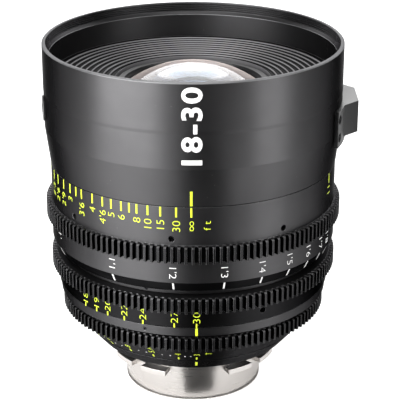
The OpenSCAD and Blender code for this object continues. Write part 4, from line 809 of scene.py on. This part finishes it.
gather("focus_figures",
       placed_figures(FAR_SCALE, FOCUS_FRONT, height=87.4, figure_height=2.9, turn=90, align="end")
       + placed_figures([("f t", 5.3)], FOCUS_FRONT, height=87.4, figure_height=2.6, turn=90,
                        align="end"), "focus", mark_lime)
gather("focus_lines",
       placed_strokes(mark_azimuths(FAR_SCALE) + FAR_HALVES, FOCUS_FRONT, height=88.8, width=0.68,
                      length=3.7), "focus", mark_lime)
gather("near_figures",
       placed_figures(NEAR_SCALE, FOCUS_REAR, height=69.1, figure_height=2.7, turn=-90,
                      align="start", widen=1.2), "focus", mark_white)
gather("near_lines",
       placed_strokes(mark_azimuths(NEAR_SCALE), FOCUS_CONE, height=59.9, width=0.68, length=3.4),
       "focus", mark_white)
gather("zoom_figures",
       placed_figures(ZOOM_SCALE, ZOOM_BAND, height=46.1, figure_height=2.7, turn=90,
                      align="start", widen=1.3), "zoom", mark_lime)
gather("zoom_lines",
       placed_strokes(mark_azimuths(ZOOM_SCALE), ZOOM_BAND, height=44.2, width=0.55, length=1.7),
       "zoom", mark_lime)
gather("iris_figures",
       placed_figures(IRIS_SCALE, IRIS_CONE, height=28.6, figure_height=2.4, turn=90, align="start")
       + placed_figures([("T", 7.4)], IRIS_CONE, height=28.9, figure_height=2.4, turn=90,
                        align="start"), "iris", mark_lime)
gather("iris_lines",
       placed_strokes(mark_azimuths(IRIS_SCALE), IRIS_CONE, height=25.9, width=0.6, length=1.9),
       "iris", mark_lime)
gather("iris_dots", placed_dots(IRIS_DOTS, IRIS_CONE, height=28.1, width=0.55), "iris", mark_white)
gather("index_lines",
       placed_strokes([-0.65], BARREL_TAPER, height=93.2, width=0.9, length=5.9)
       + placed_strokes([1.4], INDEX_BAND, height=40.6, width=0.9, length=3.1)
       + placed_strokes([1.8], HOUSING_CONE, height=21.6, width=0.9, length=3.6), "body", mark_lime)
gather("range_figures",
       placed_figures([("18-30", -0.5)], RANGE_BAND, height=123.6, figure_height=6.9, turn=90,
                      align="middle", bold=0.026, widen=1.2, spacing=1.13), "body", mark_white)


# Floor, world and lights: a pale floor, and soft light from the left, right, back and top
FLOOR_R = 6.0
FLOOR_SIDES = 64
MIRRORED_SHARE = 0.1
FLOOR_GLOW = 0.6
ROOM_LIGHT = 0.1
ROOM_MIRRORED = 0.06


def share_seen(tree, mirrored_share):
    """1 for rays from the camera or through glass, and a share for mirrored rays."""
    path = add_node(tree, "ShaderNodeLightPath")
    mirrored = math_node(tree, "MULTIPLY", path.outputs["Is Glossy Ray"], mirrored_share)
    seen = math_node(tree, "ADD", path.outputs["Is Camera Ray"], mirrored, clamp=True)
    return math_node(tree, "ADD", seen, path.outputs["Is Transmission Ray"], clamp=True)


def floor_material():
    material, tree, shader = new_material("white floor")
    tree.nodes.remove(shader)
    output = tree.nodes["Material Output"]
    paper = add_node(tree, "ShaderNodeBsdfDiffuse", {"Color": rgb(0.8, 0.8, 0.8)})
    glow = add_node(tree, "ShaderNodeEmission", {"Color": rgb(1, 1, 1)})
    both = add_node(tree, "ShaderNodeAddShader")
    seen = share_seen(tree, MIRRORED_SHARE)
    join(tree, (math_node(tree, "MULTIPLY", seen, FLOOR_GLOW), glow.inputs["Strength"]),
         (paper.outputs[0], both.inputs[0]), (glow.outputs[0], both.inputs[1]),
         (both.outputs[0], output.inputs["Surface"]))
    return material


floor_shape = bmesh.new()
bmesh.ops.create_circle(floor_shape, cap_ends=True, segments=FLOOR_SIDES, radius=FLOOR_R)
floor_mesh = mesh_from(floor_shape, "floor")
floor_mesh.materials.append(floor_material())
floor = bpy.data.objects.new("floor", floor_mesh)
scene.collection.objects.link(floor)

# A black card lies in front of the lens, with a narrow black ring round the mount's foot: the card
# gives painted dark reflections, the ring a painted contact shadow along the mount's lower edge.
# Only reflections show them: the photograph's blacks and steel mirror something dark there.
# Each row of the card is a distance in front of the axis, its middle and its half width, in metres.
CARD_ROWS = [(0.0315, 0.004, 0.008), (0.05, 0.008, 0.02), (0.08, 0.012, 0.032),
             (0.2, 0.025, 0.068), (0.55, 0.06, 0.045)]
CARD_HEIGHT = 0.0004
# The painted shadow ring's inner and outer radius, and its height.
SHADOW_RING = (0.0272, 0.0283)
SHADOW_RING_HEIGHT = 0.0003
SHADOW_RING_STEPS = 96


def card_material():
    material, tree, shader = new_material("black card")
    shader.inputs["Base Color"].default_value = rgb(0.006, 0.006, 0.006)
    shader.inputs["Roughness"].default_value = 0.9
    shader.inputs["Specular IOR Level"].default_value = 0.1
    return material


def black_card():
    shape = bmesh.new()
    rows = [[shape.verts.new((middle + side * half, -away, CARD_HEIGHT)) for side in (-1, 1)]
            for away, middle, half in CARD_ROWS]
    for near, far in zip(rows, rows[1:]):
        shape.faces.new((near[0], far[0], far[1], near[1]))
    ends = [shape.verts.new((radius, 0, SHADOW_RING_HEIGHT)) for radius in SHADOW_RING]
    bmesh.ops.spin(shape, geom=ends + [shape.edges.new(ends)], cent=(0, 0, 0), axis=(0, 0, 1),
                   angle=math.tau, steps=SHADOW_RING_STEPS, use_merge=True)
    mesh = mesh_from(shape, "card")
    mesh.materials.append(card_material())
    card = bpy.data.objects.new("card", mesh)
    card.visible_camera = False
    card.visible_shadow = False
    card.visible_diffuse = False
    card.visible_transmission = False
    scene.collection.objects.link(card)


black_card()

world = bpy.data.worlds.new("studio")
world.use_nodes = True
scene.world = world
world_tree = world.node_tree
background = world_tree.nodes["Background"]
level = add_node(world_tree, "ShaderNodeMapRange", {"To Min": ROOM_LIGHT, "To Max": 1.0})
join(world_tree, (share_seen(world_tree, ROOM_MIRRORED), level.inputs["Value"]),
     (level.outputs["Result"], background.inputs["Strength"]))
background.inputs["Color"].default_value = rgb(1, 1, 1)


LIT_POINT = Vector((0, 0, 0.07))


def soft_panel(name, azimuth, distance, height, size, power):
    """A flat light that faces the lens. Azimuth 0 is the camera's side."""
    light = bpy.data.lights.new(name, "AREA")
    light.shape = "RECTANGLE"
    light.size, light.size_y = size
    light.energy = power
    lamp = bpy.data.objects.new(name, light)
    lamp.visible_camera = False
    angle = math.radians(azimuth - 90)
    lamp.location = (distance * math.cos(angle), distance * math.sin(angle), height)
    lamp.rotation_euler = (LIT_POINT - lamp.location).to_track_quat("-Z", "Y").to_euler()
    scene.collection.objects.link(lamp)


soft_panel("left panel", -46, 0.34, 0.18, (0.33, 0.42), 2.6)
soft_panel("right panel", 56, 0.36, 0.18, (0.17, 0.42), 0.85)
soft_panel("back panel", 180, 0.85, 0.62, (1.8, 1.1), 20)
soft_panel("top panel", 0, 0.33, 0.95, (0.7, 0.4), 2.4)
